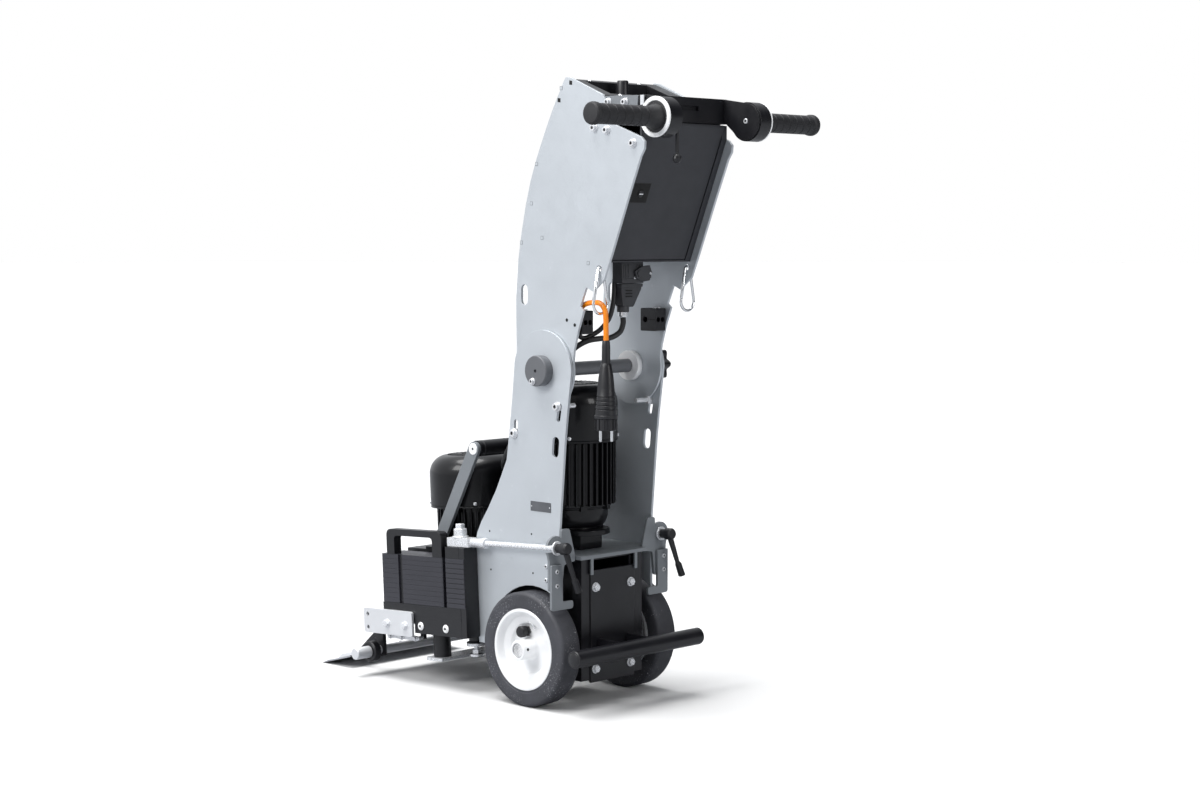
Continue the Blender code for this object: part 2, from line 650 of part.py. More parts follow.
def make_column_plates():
    for side, sign in (("left", 1), ("right", -1)):
        low, high = sorted((sign * UPPER_IN, sign * (UPPER_IN + PLATE)))
        shape = prism(upper_plate_outline(), "x", low, high)
        plate = Part("column_plate_" + side, shape, "silver_paint", "column")
        through = (low - 4, high + 4)
        plate.cut(
            cylinder("x", (0, PIVOT_Y, PIVOT_Z), 12.3, *through),
            cylinder("x", (0, 155, 760), 5.5, *through, 16),
            prism(slot((-26, 713), 16, 36, 0), "x", *through),
        )


def make_control_box():
    """A bent sheet for the front and floor, the rear cover in its frame, and what is inside."""
    front = [(76, 1072), (49, 1020), (30, 982), (11, 941), (-4, 903), (-17, 859), (-27, 814), (-34, 773)]
    inner = [(y + 3.2, z) for y, z in reversed(front)]
    outline = front + [(-34, 770), (164, 770), (164, 773)] + inner
    box = Part("control_box", prism(outline, "x", -BOX_HALF, BOX_HALF), "charcoal", "column")
    strip = [(160, 770.5), (164, 770.5), (247, 978), (247, 1001), (243, 1001), (243, 979)]
    for sign in (1, -1):
        box.add(prism(strip, "x", *sorted((sign * 92.5, sign * BOX_HALF))))
    cover = [(160.5, 774), (164, 774), (253, 996), (253, 1001), (248, 1001), (248, 996)]
    Part("rear_cover", prism(cover, "x", -91.5, 91.5), "charcoal", "column")
    Part("switchgear", block((-70, 70), (62, 110), (820, 960)), "black_plastic", "column")
    wedge = [(81, 1078.5), (160, 1048), (160, 1034), (81, 1034)]
    top = Part("top_frame", prism(wedge, "x", -BOX_HALF, BOX_HALF), "black_paint", "column")
    top.cut(block((-75, 78), (90, 150), (1040, 1100)))
    knob = turned([(0, 0), (15, 0), (15, 5), (13, 7), (13, 36), (11.5, 38), (0, 38)], "z", (10, 112, 1040.3), 24)
    Part("control_knob", knob, "black_plastic", "control_knob").smooth()


def make_handles():
    arm = [(200, 1003.3), (200, 1044.7), (250, 1044.7)]
    arm += arc((HANDLE_Y, HANDLE_Z), HUB_R - 2, 85, -145, 19) + [(254, 1003.3)]
    frame = Part("handle_frame", block((-101, 101), (166, 250), (1003, 1045)), "black_paint", "column")
    for sign in (1, -1):
        frame.add(prism(arm, "x", *sorted((sign * 95, sign * 101))))
        frame.add(cylinder("x", (0, HANDLE_Y, HANDLE_Z), HUB_R, *sorted((sign * 98, sign * 125)), 36))
    frame.cut(block((-30, 42), (244, 255), (1023, 1031)))
    grip = [(0, 125.3), (HUB_R, 125.3), (HUB_R, 128), (19, 128), (17, 134), (16.3, 140), (16.3, 262)]
    grip += [(18.3, 265), (18.3, 273), (16, 277), (0, 277)]
    for side, sign in (("left", 1), ("right", -1)):
        profile = [(r, sign * x) for r, x in grip]
        shape = turned(profile, "x", (0, HANDLE_Y, HANDLE_Z), 32)
        Part("handle_grip_" + side, shape, "grip", "handle_" + side).smooth()
    lever = Part("control_lever", cylinder("x", (0, HANDLE_Y, HANDLE_Z), 8, 74, 94.7, 16), "black_plastic",
                 "control_lever").smooth()
    lever.add(
        prism([(72, HANDLE_Z - 2), (78, HANDLE_Z - 2), (78, 946), (72, 946)], "y", HANDLE_Y - 3, HANDLE_Y + 3),
        turned([(0, -7.5), (4.5, -6), (7.5, 0), (4.5, 6), (0, 7.5)], "z", (75, HANDLE_Y, 940), 12),
    )


def make_connector():
    """The motor connector under the box: fixed housing, tapered hood with gland, and its locking bail."""
    hood = Part("connector_hood", block((-24, 30), (106, 130), (733, 770 - GAP)), "black_plastic", "column")
    taper = [(-22, 735), (28, 735), (28, 727), (24, 693), (-2, 693), (-22, 727)]
    hood.add(prism(taper, "y", 109, 127), cylinder("z", (15, 118, 0), 8, 676, 695, 16))
    arm = [(-2, 742), (2, 754), (-14, 762), (-34, 764), (-40, 752), (-34, 738), (-20, 736)]
    latch = Part("connector_latch", prism(arm, "y", 101, 105.7), "black_plastic", "connector_latch")
    latch.add(prism(arm, "y", 130.3, 135), block((-39, -31), (102, 134), (742, 756)))


def make_cable_clamps():
    """A block inside each column plate that grips the cables."""
    for side, sign in (("left", 1), ("right", -1)):
        clamp = block(sorted((sign * 78, sign * (UPPER_IN - GAP))), (72, 108), (648, 688))
        Part("cable_clamp_" + side, clamp, "black_plastic", "column")


def carabiner_path(x):
    top = arc((x, 755), 6.5, 155, 25, 7)
    bottom = arc((x, 701), 16.5, 5, -185, 13)
    return [(a, 155, b) for a, b in top + bottom]


def make_hooks_and_cords():
    for side, sign, body in (("left", 1, "column"), ("right", -1, "carabiner_right")):
        loop = swept_loop(carabiner_path(sign * 108.5), 2.5, 8)
        Part("carabiner_" + side, loop, "steel", body).smooth(60)
    plug = turned([(0, 640), (5.2, 640), (7.2, 630), (7.6, 596), (9, 590), (12, 560), (17, 530), (18.5, 514),
                   (20, 513), (20, 509), (19, 508), (19, 489), (0, 489)], "z", (103, 163, 0), 28)
    cap = Part("mains_plug", plug, "black_plastic", "column").smooth()
    for offset in (-9.5, 9.5):
        cap.add(cylinder("z", (103 + offset * 0.7, 163 - offset * 0.7, 0), 2.4, 470, 492, 10))
    cord_route = [(95, 97, 689), (95.3, 98.5, 694), (97.5, 108, 699), (101, 123, 702)]
    cord_route += [(104, 138, 703), (105, 150, 702), (105, 158, 697), (104.5, 162.5, 688)]
    cord_route += [(104, 163.5, 674), (103, 163, 655), (103, 163, 640 + 2 * GAP)]
    cable("mains_cord", cord_route, CORD_R, "orange", 34)
    motor_route = [(15, 118, 675), (15, 118, 664), (22, 117, 650), (40, 113, 641), (62, 109, 640)]
    motor_route += [(84, 99, 636), (95, 80, 623), (98, 64, 604), (98.5, 60, 584), (99, 50, 550), (99, -20, 490)]
    motor_route += [(93, -72, 456), (84, -106, 420), (68, -124, 402), (54, -128, 398), (40.6, -128, 398)]
    cable("motor_cable", motor_route, CABLE_R, "black_plastic", 44)


clear_scene()
EMPTIES = make_empties()
make_side_plates()
make_gearbox()
make_motor_mount()
make_drive_motor()
make_bumper()
make_brackets()
make_pivot()
make_axle()
make_wheels()
make_front_housing()
make_blade_motor()
make_lift_frame()
make_weights()
make_tie_rods()
make_blade_head()
make_support_foot()
make_column_plates()
make_control_box()
make_handles()
make_connector()
make_cable_clamps()
make_hooks_and_cords()
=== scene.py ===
"""Looks of the walk-behind floor stripper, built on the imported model.

Shapes are drawn in millimetres, in the machine coordinates that the CAD uses, with the axle above Y = 0, or
in the tilted blade unit's own coordinates. piece() and fasten() bring them into the frame.
"""

import json
import math

import bmesh
import bpy
from mathutils import Matrix, Vector


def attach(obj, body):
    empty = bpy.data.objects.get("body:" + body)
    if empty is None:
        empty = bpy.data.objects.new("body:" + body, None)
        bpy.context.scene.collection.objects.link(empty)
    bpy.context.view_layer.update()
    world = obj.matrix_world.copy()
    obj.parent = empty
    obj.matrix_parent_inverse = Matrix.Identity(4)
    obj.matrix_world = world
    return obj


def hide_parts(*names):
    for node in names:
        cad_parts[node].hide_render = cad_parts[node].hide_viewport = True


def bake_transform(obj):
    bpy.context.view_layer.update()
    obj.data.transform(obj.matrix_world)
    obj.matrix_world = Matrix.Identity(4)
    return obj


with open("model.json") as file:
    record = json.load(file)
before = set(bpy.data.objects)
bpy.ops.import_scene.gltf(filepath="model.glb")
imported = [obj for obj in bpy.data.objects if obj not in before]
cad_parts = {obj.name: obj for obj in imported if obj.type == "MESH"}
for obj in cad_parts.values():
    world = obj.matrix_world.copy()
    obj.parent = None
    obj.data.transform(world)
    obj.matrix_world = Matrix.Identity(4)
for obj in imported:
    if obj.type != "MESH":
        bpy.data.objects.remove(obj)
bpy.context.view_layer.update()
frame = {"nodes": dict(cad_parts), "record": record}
BODY_OF = {node: body for body, nodes in frame["record"]["behaviour"]["bodies"].items() for node in nodes}

MM = 0.001
SHIFT = 113.5  # from the axle, the machine's middle is this far towards the blade
MACHINE = Matrix.Scale(MM, 4) @ Matrix.Translation((0, SHIFT, 0))
UNIT = MACHINE @ Matrix.Translation((0, -132, 62)) @ Matrix.Rotation(math.radians(3), 4, "X")

WHEEL_R = 100.0
PIVOT = (24, 584)
HANDLE = (297, 1006)
ROD_X = 131.0
ROD_Z = 210.0
BRACKET_ROD_Z = 283.0
LIFT_GRIP = (-25, 373.5)
DRIVE_MOTOR_Y = -28.0
BLADE_MOTOR_Y = -124.0
SIDE_FACE = 117.0  # outer faces, from the machine's middle
COLUMN_FACE = 111.0
HOUSING_FACE = 149.9
WEIGHT_LOW = 92.8
WEIGHT_HIGH = 182.0
SLABS = 10
SLAB_PITCH = (WEIGHT_HIGH - WEIGHT_LOW) / SLABS
PLUNGER = (-10, 129.3)
LEVELLER = (105, -25)
PLUG = (103, 163)
EXIT = (15, 118)  # where the motor cable leaves the connector
TERMINAL = (-128, 398)
TIP = (-427.7, -39.7)  # blade edge in the blade unit
BLADE_SLOPE = math.tan(math.radians(12))
ROLLER = (-272, -4)
LEFT_RIGHT = (("left", 1), ("right", -1))


# ---- shapes


def at(axis, along, a, b):
    """A point from its distance along an axis and its two other coordinates, in x, y, z order."""
    return {"x": (along, a, b), "y": (a, along, b), "z": (a, b, along)}[axis]


def skinned(shape, rings, closed=False):
    """Faces from each ring of points to the next. A ring of one point is the tip of a cone."""
    for first, second in zip(rings, rings[1:] + rings[:1] if closed else rings[1:]):
        count = max(len(first), len(second))
        for i in range(count):
            j = (i + 1) % count
            corners = [first[i % len(first)], first[j % len(first)]]
            corners += [second[j % len(second)], second[i % len(second)]]
            shape.faces.new(list(dict.fromkeys(corners)))
    bmesh.ops.recalc_face_normals(shape, faces=shape.faces)
    return shape


def prism(outline, axis, low, high, way=1):
    """The outline between two distances along an axis. way is -1 for the axis's other side."""
    shape = bmesh.new()
    ends = [[shape.verts.new(at(axis, along, *point)) for point in outline]
            for along in sorted((way * low, way * high))]
    shape.faces.new(ends[0])
    shape.faces.new(reversed(ends[1]))
    return skinned(shape, ends)


def rect(across, up, radius=0, count=6):
    """A rectangle's outline from its range each way, with rounded corners if it has a radius."""
    (a, b), (c, d) = across, up
    corners = [(a, c), (b, c), (b, d), (a, d)]
    return rounded(corners, radius, count) if radius else corners


def block(x, y, z):
    return prism(rect(sorted(x), sorted(y)), "z", *z)


def turned(profile, axis, centre=(0, 0, 0), segments=48, way=1):
    """(radius, distance) points turned about an axis: a solid if both ends are on it, otherwise a ring."""
    shape = bmesh.new()
    index = "xyz".index(axis)
    others = [centre[i] for i in range(3) if i != index]
    rings = []
    for radius, along in profile:
        ring = []
        for i in range(segments if radius > 0 else 1):
            turn = 2 * math.pi * i / segments
            a = others[0] + radius * math.cos(turn)
            b = others[1] + radius * math.sin(turn)
            ring.append(shape.verts.new(at(axis, centre[index] + way * along, a, b)))
        rings.append(ring)
    return skinned(shape, rings, closed=profile[0][0] > 0)


def drum(radius, low, high, narrower=0, bevel=0):
    """The profile of a solid cylinder, with a bevel round its far end."""
    end = [(radius, high - bevel), (radius - narrower, high)] if bevel else [(radius, high)]
    return [(0, low), (radius, low), *end, (0, high)]


def cylinder(axis, centre, radius, low, high, segments=40, way=1):
    return turned(drum(radius, *sorted((way * low, way * high))), axis, centre, segments)


def polar(radius, degrees, centre=(0, 0)):
    turn = math.radians(degrees)
    return centre[0] + radius * math.cos(turn), centre[1] + radius * math.sin(turn)


def arc(centre, radius, start, end, count):
    return [polar(radius, start + (end - start) * i / (count - 1), centre) for i in range(count)]


def mirrored(outline, sign):
    """The outline on the left for 1, and on the right for -1."""
    return [(sign * a, b) for a, b in outline]


def spun(shape, centre, degrees):
    """The shape turned about the vertical at the origin, and then carried to the centre."""
    shape.transform(Matrix.Translation(centre) @ Matrix.Rotation(math.radians(degrees), 4, "Z"))
    return shape


def rounded(outline, radii, count=6):
    """The outline with its corners rounded. radii is one radius, or one for each corner."""
    if not isinstance(radii, (list, tuple)):
        radii = [radii] * len(outline)
    points = []
    for i, corner in enumerate(outline):
        here = Vector(corner)
        back = Vector(outline[i - 1]) - here
        ahead = Vector(outline[(i + 1) % len(outline)]) - here
        half = back.angle(ahead) / 2
        reach = min(radii[i] / math.tan(half), back.length * 0.49, ahead.length * 0.49)
        if reach < 0.05:
            points.append(tuple(here))
            continue
        start = here + back.normalized() * reach
        end = here + ahead.normalized() * reach
        for k in range(count + 1):
            t = k / count
            points.append(tuple(start * (1 - t) ** 2 + here * 2 * t * (1 - t) + end * t**2))
    return points


def tube(path, radius, sides=20, closed=False):
    """A round bar along a path. radius is one number, or one for each point."""
    shape = bmesh.new()
    points = [Vector(p) for p in path]
    count = len(points)
    radii = radius if isinstance(radius, (list, tuple)) else [radius] * count
    rings = []
    across = None
    for i, point in enumerate(points):
        behind = points[i - 1] if i or closed else point
        before = points[(i + 1) % count] if i < count - 1 or closed else point
        ahead = (before - behind).normalized()
        if across is None:
            across = ahead.orthogonal().normalized()
        across = (across - ahead * across.dot(ahead)).normalized()
        up = ahead.cross(across)
        ring = []
        for k in range(sides):
            turn = 2 * math.pi * k / sides
            offset = (across * math.cos(turn) + up * math.sin(turn)) * radii[i]
            ring.append(shape.verts.new(point + offset))
        rings.append(ring)
    if not closed:
        shape.faces.new(rings[0])
        shape.faces.new(rings[-1])
    return skinned(shape, rings, closed)


def smooth_path(points, count):
    """Evenly numbered points on a Catmull-Rom curve through the route's own points."""
    route = [Vector(p) for p in points]
    route = [2 * route[0] - route[1]] + route + [2 * route[-1] - route[-2]]
    spans = len(route) - 3
    path = []
    for i in range(count):
        t = spans * i / (count - 1)
        k = min(int(t), spans - 1)
        u = t - k
        a, b, c, d = route[k : k + 4]
        squared = (2 * a - 5 * b + 4 * c - d) * u**2
        path.append(0.5 * (2 * b + (c - a) * u + squared + (3 * b - 3 * c + d - a) * u**3))
    return path


def joined(*shapes):
    """Several shapes as one mesh."""
    whole = shapes[0]
    for shape in shapes[1:]:
        mesh = bpy.data.meshes.new("part")
        shape.to_mesh(mesh)
        shape.free()
        whole.from_mesh(mesh)
        bpy.data.meshes.remove(mesh)
    return whole


# ---- pieces


MERGE = 3e-6
FLAT = math.radians(0.5)
ROUNDED_FROM = math.radians(30)
SHARP_FROM = math.radians(26)
FITTING_SHARP_FROM = math.radians(35)


def realised(obj):
    """The object's mesh with its modifiers applied."""
    graph = bpy.context.evaluated_depsgraph_get()
    mesh = bpy.data.meshes.new_from_object(obj.evaluated_get(graph))
    old = obj.data
    obj.modifiers.clear()
    obj.data = mesh
    bpy.data.meshes.remove(old)


def added(name, data):
    obj = bpy.data.objects.new(name, data)
    bpy.context.collection.objects.link(obj)
    return obj


def linked(name, shape, place):
    """The shape as an object, at its place."""
    shape.transform(place)
    mesh = bpy.data.meshes.new(name)
    shape.to_mesh(mesh)
    shape.free()
    return added(name, mesh)


def cut_out(obj, shapes, place):
    tools = []
    for shape in shapes:
        tool = linked("tool", shape, place)
        modifier = obj.modifiers.new("cut", "BOOLEAN")
        modifier.operation = "DIFFERENCE"
        modifier.object = tool
        tools.append(tool)
    realised(obj)
    for tool in tools:
        bpy.data.objects.remove(tool, do_unlink=True)


def round_edges(obj, width, segments=2):
    """Small rounded edges, applied, with smooth shading."""
    if width:
        shape = bmesh.new()
        shape.from_mesh(obj.data)
        bmesh.ops.remove_doubles(shape, verts=shape.verts, dist=MERGE)
        bmesh.ops.dissolve_limit(shape, angle_limit=FLAT, verts=shape.verts, edges=shape.edges)
        shape.to_mesh(obj.data)
        shape.free()
        bevel = obj.modifiers.new("edges", "BEVEL")
        bevel.width = width * MM
        bevel.segments = segments
        bevel.limit_method = "ANGLE"
        bevel.angle_limit = ROUNDED_FROM
        realised(obj)
    obj.data.shade_smooth()
    obj.data.set_sharp_from_angle(angle=SHARP_FROM)
    if width:
        weighted = obj.modifiers.new("flats", "WEIGHTED_NORMAL")
        weighted.mode = "FACE_AREA"
        weighted.weight = 100
        weighted.keep_sharp = True
        realised(obj)


def placed(body):
    """The coordinates a body is drawn in. "unit" is the part of the chassis that is tilted with the blade."""
    tilted = body.startswith(("unit", "weight", "tie_rod", "blade_head", "guide_roller"))
    return UNIT if tilted else MACHINE, "chassis" if body == "unit" else body


def dress(obj, material, body, replaces=None):
    """Gives a piece its material and its body, and hides the CAD node that it stands for."""
    obj.data.materials.clear()
    obj.data.materials.append(material)
    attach(obj, body)
    if replaces:
        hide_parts(replaces)
    return obj


def piece(name, shape, material, body="chassis", edge=0, replaces=None, cut=(), segments=2):
    """A piece with rounded edges."""
    place, body = placed(body)
    obj = linked(name, shape, place)
    if cut:
        cut_out(obj, cut, place)
    round_edges(obj, edge, segments)
    return dress(obj, material, body, replaces)


def refine(node, material, edge):
    """A CAD node's own shape with small rounded edges, standing for the node."""
    obj = added(node + "_look", frame["nodes"][node].data.copy())
    round_edges(obj, edge)
    return dress(obj, material, BODY_OF[node], node)


# ---- materials


def new_material(name):
    material = bpy.data.materials.new(name)
    material.use_nodes = True
    tree = material.node_tree
    return material, tree, tree.nodes["Principled BSDF"]


def added_node(tree, kind):
    return tree.nodes.new("ShaderNode" + kind)


def noise(tree, scale, detail, rough=0.5, stretch=(1, 1, 1)):
    """Noise that is fixed to the object, so it moves with its body. scale is per metre."""
    place = added_node(tree, "TexCoord")
    mapping = added_node(tree, "Mapping")
    mapping.inputs["Scale"].default_value = stretch
    texture = added_node(tree, "TexNoise")
    texture.inputs["Scale"].default_value = scale
    texture.inputs["Detail"].default_value = detail
    texture.inputs["Roughness"].default_value = rough
    tree.links.new(place.outputs["Object"], mapping.inputs["Vector"])
    tree.links.new(mapping.outputs["Vector"], texture.inputs["Vector"])
    return texture.outputs["Fac"]


def spread(tree, value, low, high, to_low=0, to_high=1):
    """A value mapped from one range to another, held at the ends."""
    node = added_node(tree, "MapRange")
    for socket, number in zip(("From Min", "From Max", "To Min", "To Max"), (low, high, to_low, to_high)):
        node.inputs[socket].default_value = number
    tree.links.new(value, node.inputs["Value"])
    return node.outputs["Result"]


def colours(tree, factor, first, second):
    node = added_node(tree, "Mix")
    node.data_type = "RGBA"
    for socket, value in ((node.inputs[6], first), (node.inputs[7], second)):
        if isinstance(value, tuple):
            socket.default_value = (*value, 1)
        else:
            tree.links.new(value, socket)
    tree.links.new(factor, node.inputs[0])
    return node.outputs[2]


def bump(tree, shader, height, strength, distance):
    node = added_node(tree, "Bump")
    node.inputs["Strength"].default_value = strength
    node.inputs["Distance"].default_value = distance
    tree.links.new(height, node.inputs["Height"])
    tree.links.new(node.outputs["Normal"], shader.inputs["Normal"])


def clouded(tree, rgb, scale, detail, darker, lighter):
    """The colour in soft clouds between a darker and a lighter tone."""
    clouds = spread(tree, noise(tree, scale, detail), 0.3, 0.7)
    return colours(tree, clouds, tuple(c * darker for c in rgb), tuple(c * lighter for c in rgb))


def roughened(tree, shader, value, low, high, smoothest, roughest):
    rough = spread(tree, value, low, high, smoothest, roughest)
    tree.links.new(rough, shader.inputs["Roughness"])


def painted(name, rgb, roughness, metallic=0, grain=900, height=0.15, vary=0.08, wear=None, coat=0,
            uneven=1, specular=0.5):
    """Powder coat or paint: faint clouds of tone, an orange-peel grain, and scuffed patches."""
    material, tree, shader = new_material(name)
    colour = clouded(tree, rgb, 7, 4, 1 - vary, 1 + vary)
    specks = spread(tree, noise(tree, grain * 1.7, 2), 0.35, 0.75, 0, 0.25)
    colour = colours(tree, specks, colour, tuple(min(1, c * 1.25) for c in rgb))
    if wear:
        scuffs = spread(tree, noise(tree, 55, 6, 0.65), 0.66, 0.74, 0, 0.35)
        colour = colours(tree, scuffs, colour, wear)
    tree.links.new(colour, shader.inputs["Base Color"])
    spots = noise(tree, 35, 5)
    roughened(tree, shader, spots, 0.25, 0.75, roughness - 0.06 * uneven, roughness + 0.08 * uneven)
    shader.inputs["Metallic"].default_value = metallic
    shader.inputs["Specular IOR Level"].default_value = specular
    shader.inputs["Coat Weight"].default_value = coat
    shader.inputs["Coat Roughness"].default_value = 0.1
    bump(tree, shader, noise(tree, grain, 2), height, 0.0004)
    return material


def metal(name, rgb, roughness, stretch=(1, 1, 1), grain=600, height=0.08, vary=0.06, metallic=1):
    """Bare or plated metal, with fine scratches along the stretch and a slightly uneven sheen."""
    material, tree, shader = new_material(name)
    tree.links.new(clouded(tree, rgb, 40, 5, 1 - vary, 1 + vary), shader.inputs["Base Color"])
    scratches = noise(tree, grain, 4, 0.6, stretch)
    roughened(tree, shader, scratches, 0.3, 0.7, roughness - 0.07, roughness + 0.1)
    shader.inputs["Metallic"].default_value = metallic
    bump(tree, shader, scratches, height, 0.0002)
    return material


def rubber(name, rgb, roughness, grain=700, height=0.35, speckle=None):
    """Moulded rubber or plastic, with an optional lighter speckle."""
    material, tree, shader = new_material(name)
    colour = clouded(tree, rgb, 25, 5, 0.8, 1.25)
    if speckle:
        product = added_node(tree, "Math")
        product.operation = "MULTIPLY"
        tree.links.new(spread(tree, noise(tree, 420, 2), 0.62, 0.72), product.inputs[0])
        tree.links.new(spread(tree, noise(tree, 16, 3), 0.46, 0.6), product.inputs[1])
        colour = colours(tree, product.outputs[0], colour, speckle)
    tree.links.new(colour, shader.inputs["Base Color"])
    roughened(tree, shader, noise(tree, 60, 4), 0.3, 0.7, roughness - 0.07, roughness + 0.07)
    bump(tree, shader, noise(tree, grain, 3), height, 0.0003)
    return material


SILVER = painted("silver_powder_coat", (0.52, 0.55, 0.58), 0.42, 0.4, grain=1100, height=0.1, vary=0.05,
                 wear=(0.75, 0.77, 0.8))
GREY = painted("mid_grey", (0.205, 0.22, 0.235), 0.42, 0.15, wear=(0.4, 0.42, 0.45))
BLACK = painted("gloss_black", (0.0065, 0.0065, 0.0085), 0.34, vary=0.2, wear=(0.03, 0.03, 0.034))
MOTOR_BLACK = painted("motor_enamel", (0.0035, 0.0035, 0.0045), 0.34, grain=700, height=0.03, vary=0.2,
                      coat=0.3, specular=0.2)
CHARCOAL = painted("charcoal_coat", (0.021, 0.022, 0.027), 0.5, grain=1500, height=0.3, vary=0.12)
SLAB = painted("weight_enamel", (0.025, 0.025, 0.033), 0.42, height=0.3, vary=0.15,
               wear=(0.045, 0.045, 0.055))
PIVOT_GREY = painted("pivot_paint", (0.13, 0.135, 0.145), 0.45, 0.2)
RIM = painted("rim_lacquer", (0.93, 0.935, 0.94), 0.3, 0.12, height=0.04, vary=0.02, uneven=0.2)
WHITE = painted("white_nylon", (0.94, 0.94, 0.94), 0.4, vary=0.02)
ZINC = metal("plated_zinc", (0.8, 0.81, 0.83), 0.26, metallic=0.5)
PLATE = painted("satin_plate", (0.72, 0.73, 0.75), 0.38, 0.4, grain=1300, height=0.05, vary=0.03)
CHROME = metal("bright_steel", (0.86, 0.87, 0.88), 0.14, vary=0.03)
BLADE_STEEL = metal("blade_steel", (0.62, 0.63, 0.65), 0.28, stretch=(1, 18, 18), grain=260, height=0.2)
GROUND = metal("ground_steel", (0.5, 0.5, 0.52), 0.3, stretch=(20, 1, 1), grain=200)
TYRE = rubber("tyre_rubber", (0.043, 0.044, 0.052), 0.62, grain=500, height=0.4, speckle=(0.42, 0.42, 0.44))
GRIP = rubber("grip_rubber", (0.008, 0.008, 0.010), 0.58, grain=1400, height=0.6)
PLASTIC = rubber("moulded_black", (0.007, 0.007, 0.009), 0.4, grain=1600, height=0.2)
HOOD = rubber("grey_plastic", (0.035, 0.036, 0.040), 0.5, grain=1600, height=0.3)
CABLE = rubber("cable_rubber", (0.010, 0.010, 0.011), 0.48, grain=1200, height=0.2)
ORANGE = rubber("orange_sheath", (0.97, 0.27, 0.006), 0.28, grain=1200, height=0.12)
LABEL = rubber("grey_print", (0.09, 0.095, 0.105), 0.5, grain=1500, height=0.1)
# Painted shade: a near-black fill drawn in holes, sockets, slots, vents and recesses, where there is only
# shade; also the dark seam lines where the cable blocks' halves meet.
HOLE_SHADE_AND_SEAMS = rubber("painted_hole_shade_and_seams", (0.004, 0.004, 0.004), 0.8)


# ---- camera, light and floor


def make_camera():
    camera = added("camera", bpy.data.cameras.new("camera"))
    camera.data.sensor_width = 36
    camera.data.lens = 65.424
    camera.location = (2.71828, 2.81627, 0.81748)
    camera.rotation_euler = (math.radians(90 - 4.351), 0, math.radians(134.320))
    bpy.context.scene.camera = camera


def lamp(name, kind, strength, direction):
    light = added(name, bpy.data.lights.new(name, kind))
    light.data.energy = strength
    light.rotation_euler = Vector(direction).to_track_quat("-Z", "Y").to_euler()
    return light


def soft_box(name, location, size, strength):
    """A square or oblong light that shines at the machine's middle."""
    light = lamp(name, "AREA", strength, MIDDLE - Vector(location))
    light.data.shape = "RECTANGLE"
    light.data.size, light.data.size_y = size
    light.location = location


def mixed(tree, factor, first, second):
    node = added_node(tree, "MixShader")
    for socket, value in zip(node.inputs, (factor, first, second)):
        tree.links.new(value, socket)
    return node.outputs[0]


def make_world():
    """A white room: the camera sees plain white past the floor, and the machine is lit more softly."""
    world = bpy.data.worlds.new("studio")
    world.use_nodes = True
    bpy.context.scene.world = world
    tree = world.node_tree
    soft = tree.nodes["Background"]
    soft.inputs["Color"].default_value = (0.93, 0.96, 1, 1)
    soft.inputs["Strength"].default_value = 0.34
    shine = added_node(tree, "Background")
    place = added_node(tree, "TexCoord")
    side = added_node(tree, "VectorMath")
    side.operation = "DOT_PRODUCT"
    side.inputs[1].default_value = (0.52, -0.66, 0.54)
    tree.links.new(place.outputs["Generated"], side.inputs[0])
    tone = spread(tree, side.outputs["Value"], -0.3, 0.45)
    tree.links.new(colours(tree, tone, (0.03, 0.033, 0.04), (0.95, 0.97, 1)), shine.inputs["Color"])
    white = added_node(tree, "Background")
    white.inputs["Color"].default_value = (1, 1, 1, 1)
    ray = added_node(tree, "LightPath")
    lit = mixed(tree, ray.outputs["Is Glossy Ray"], soft.outputs[0], shine.outputs[0])
    seen = mixed(tree, ray.outputs["Is Camera Ray"], lit, white.outputs[0])
    tree.links.new(seen, tree.nodes["World Output"].inputs["Surface"])


def make_floor():
    """White paper for the camera, and darker to the light that it throws back."""
    floor = bmesh.new()
    bmesh.ops.create_circle(floor, cap_ends=True, segments=96, radius=60)
    obj = linked("floor", floor, Matrix())
    material, tree, shader = new_material("floor_paper")
    tone = spread(tree, noise(tree, 3, 4), 0.3, 0.7)
    colour = colours(tree, tone, (0.72, 0.72, 0.72), (0.74, 0.74, 0.74))
    ray = added_node(tree, "LightPath")
    colour = colours(tree, ray.outputs["Is Camera Ray"], (0.33, 0.34, 0.36), colour)
    tree.links.new(colour, shader.inputs["Base Color"])
    shader.inputs["Roughness"].default_value = 0.75
    obj.data.materials.append(material)


MIDDLE = Vector((0, 0, 0.6))
bpy.context.scene.view_settings.view_transform = "Standard"
make_camera()
make_world()
lamp("sun", "SUN", 3.9, (-0.3, 0.3, -2.2)).data.angle = math.radians(40)
soft_box("key", (3, -0.4, 2.6), (1.6, 1.6), 85)
soft_box("rim", (-0.6, 3.6, 1.6), (0.9, 1.5), 28)
make_floor()


# ---- fasteners


FITTINGS = {}


def fasten(shape, material, body="chassis"):
    """Collects small pieces, which make_fittings joins into one mesh for each body and material."""
    place, body = placed(body)
    shape.transform(place)
    FITTINGS.setdefault((body, material), []).append(shape)


def add_washer(body, axis, centre, way, radius, height, material):
    """A chamfered washer. Gives the height at which the head on it starts."""
    fasten(turned(drum(radius, 0, height, 0.4, 0.4), axis, centre, 28, way), material, body)
    return height - 0.1


def hex_bolt(body, axis, centre, way, size, washer=True):
    """A hexagon head on its washer. way is 1 or -1 along the axis, and size is the head's radius."""
    low = add_washer(body, axis, centre, way, size * 1.22, 1.6, ZINC) if washer else 0.0
    top = low + size * 0.72
    fasten(turned(drum(size, low, top, size * 0.12, 0.9), axis, centre, 6, way), ZINC, body)


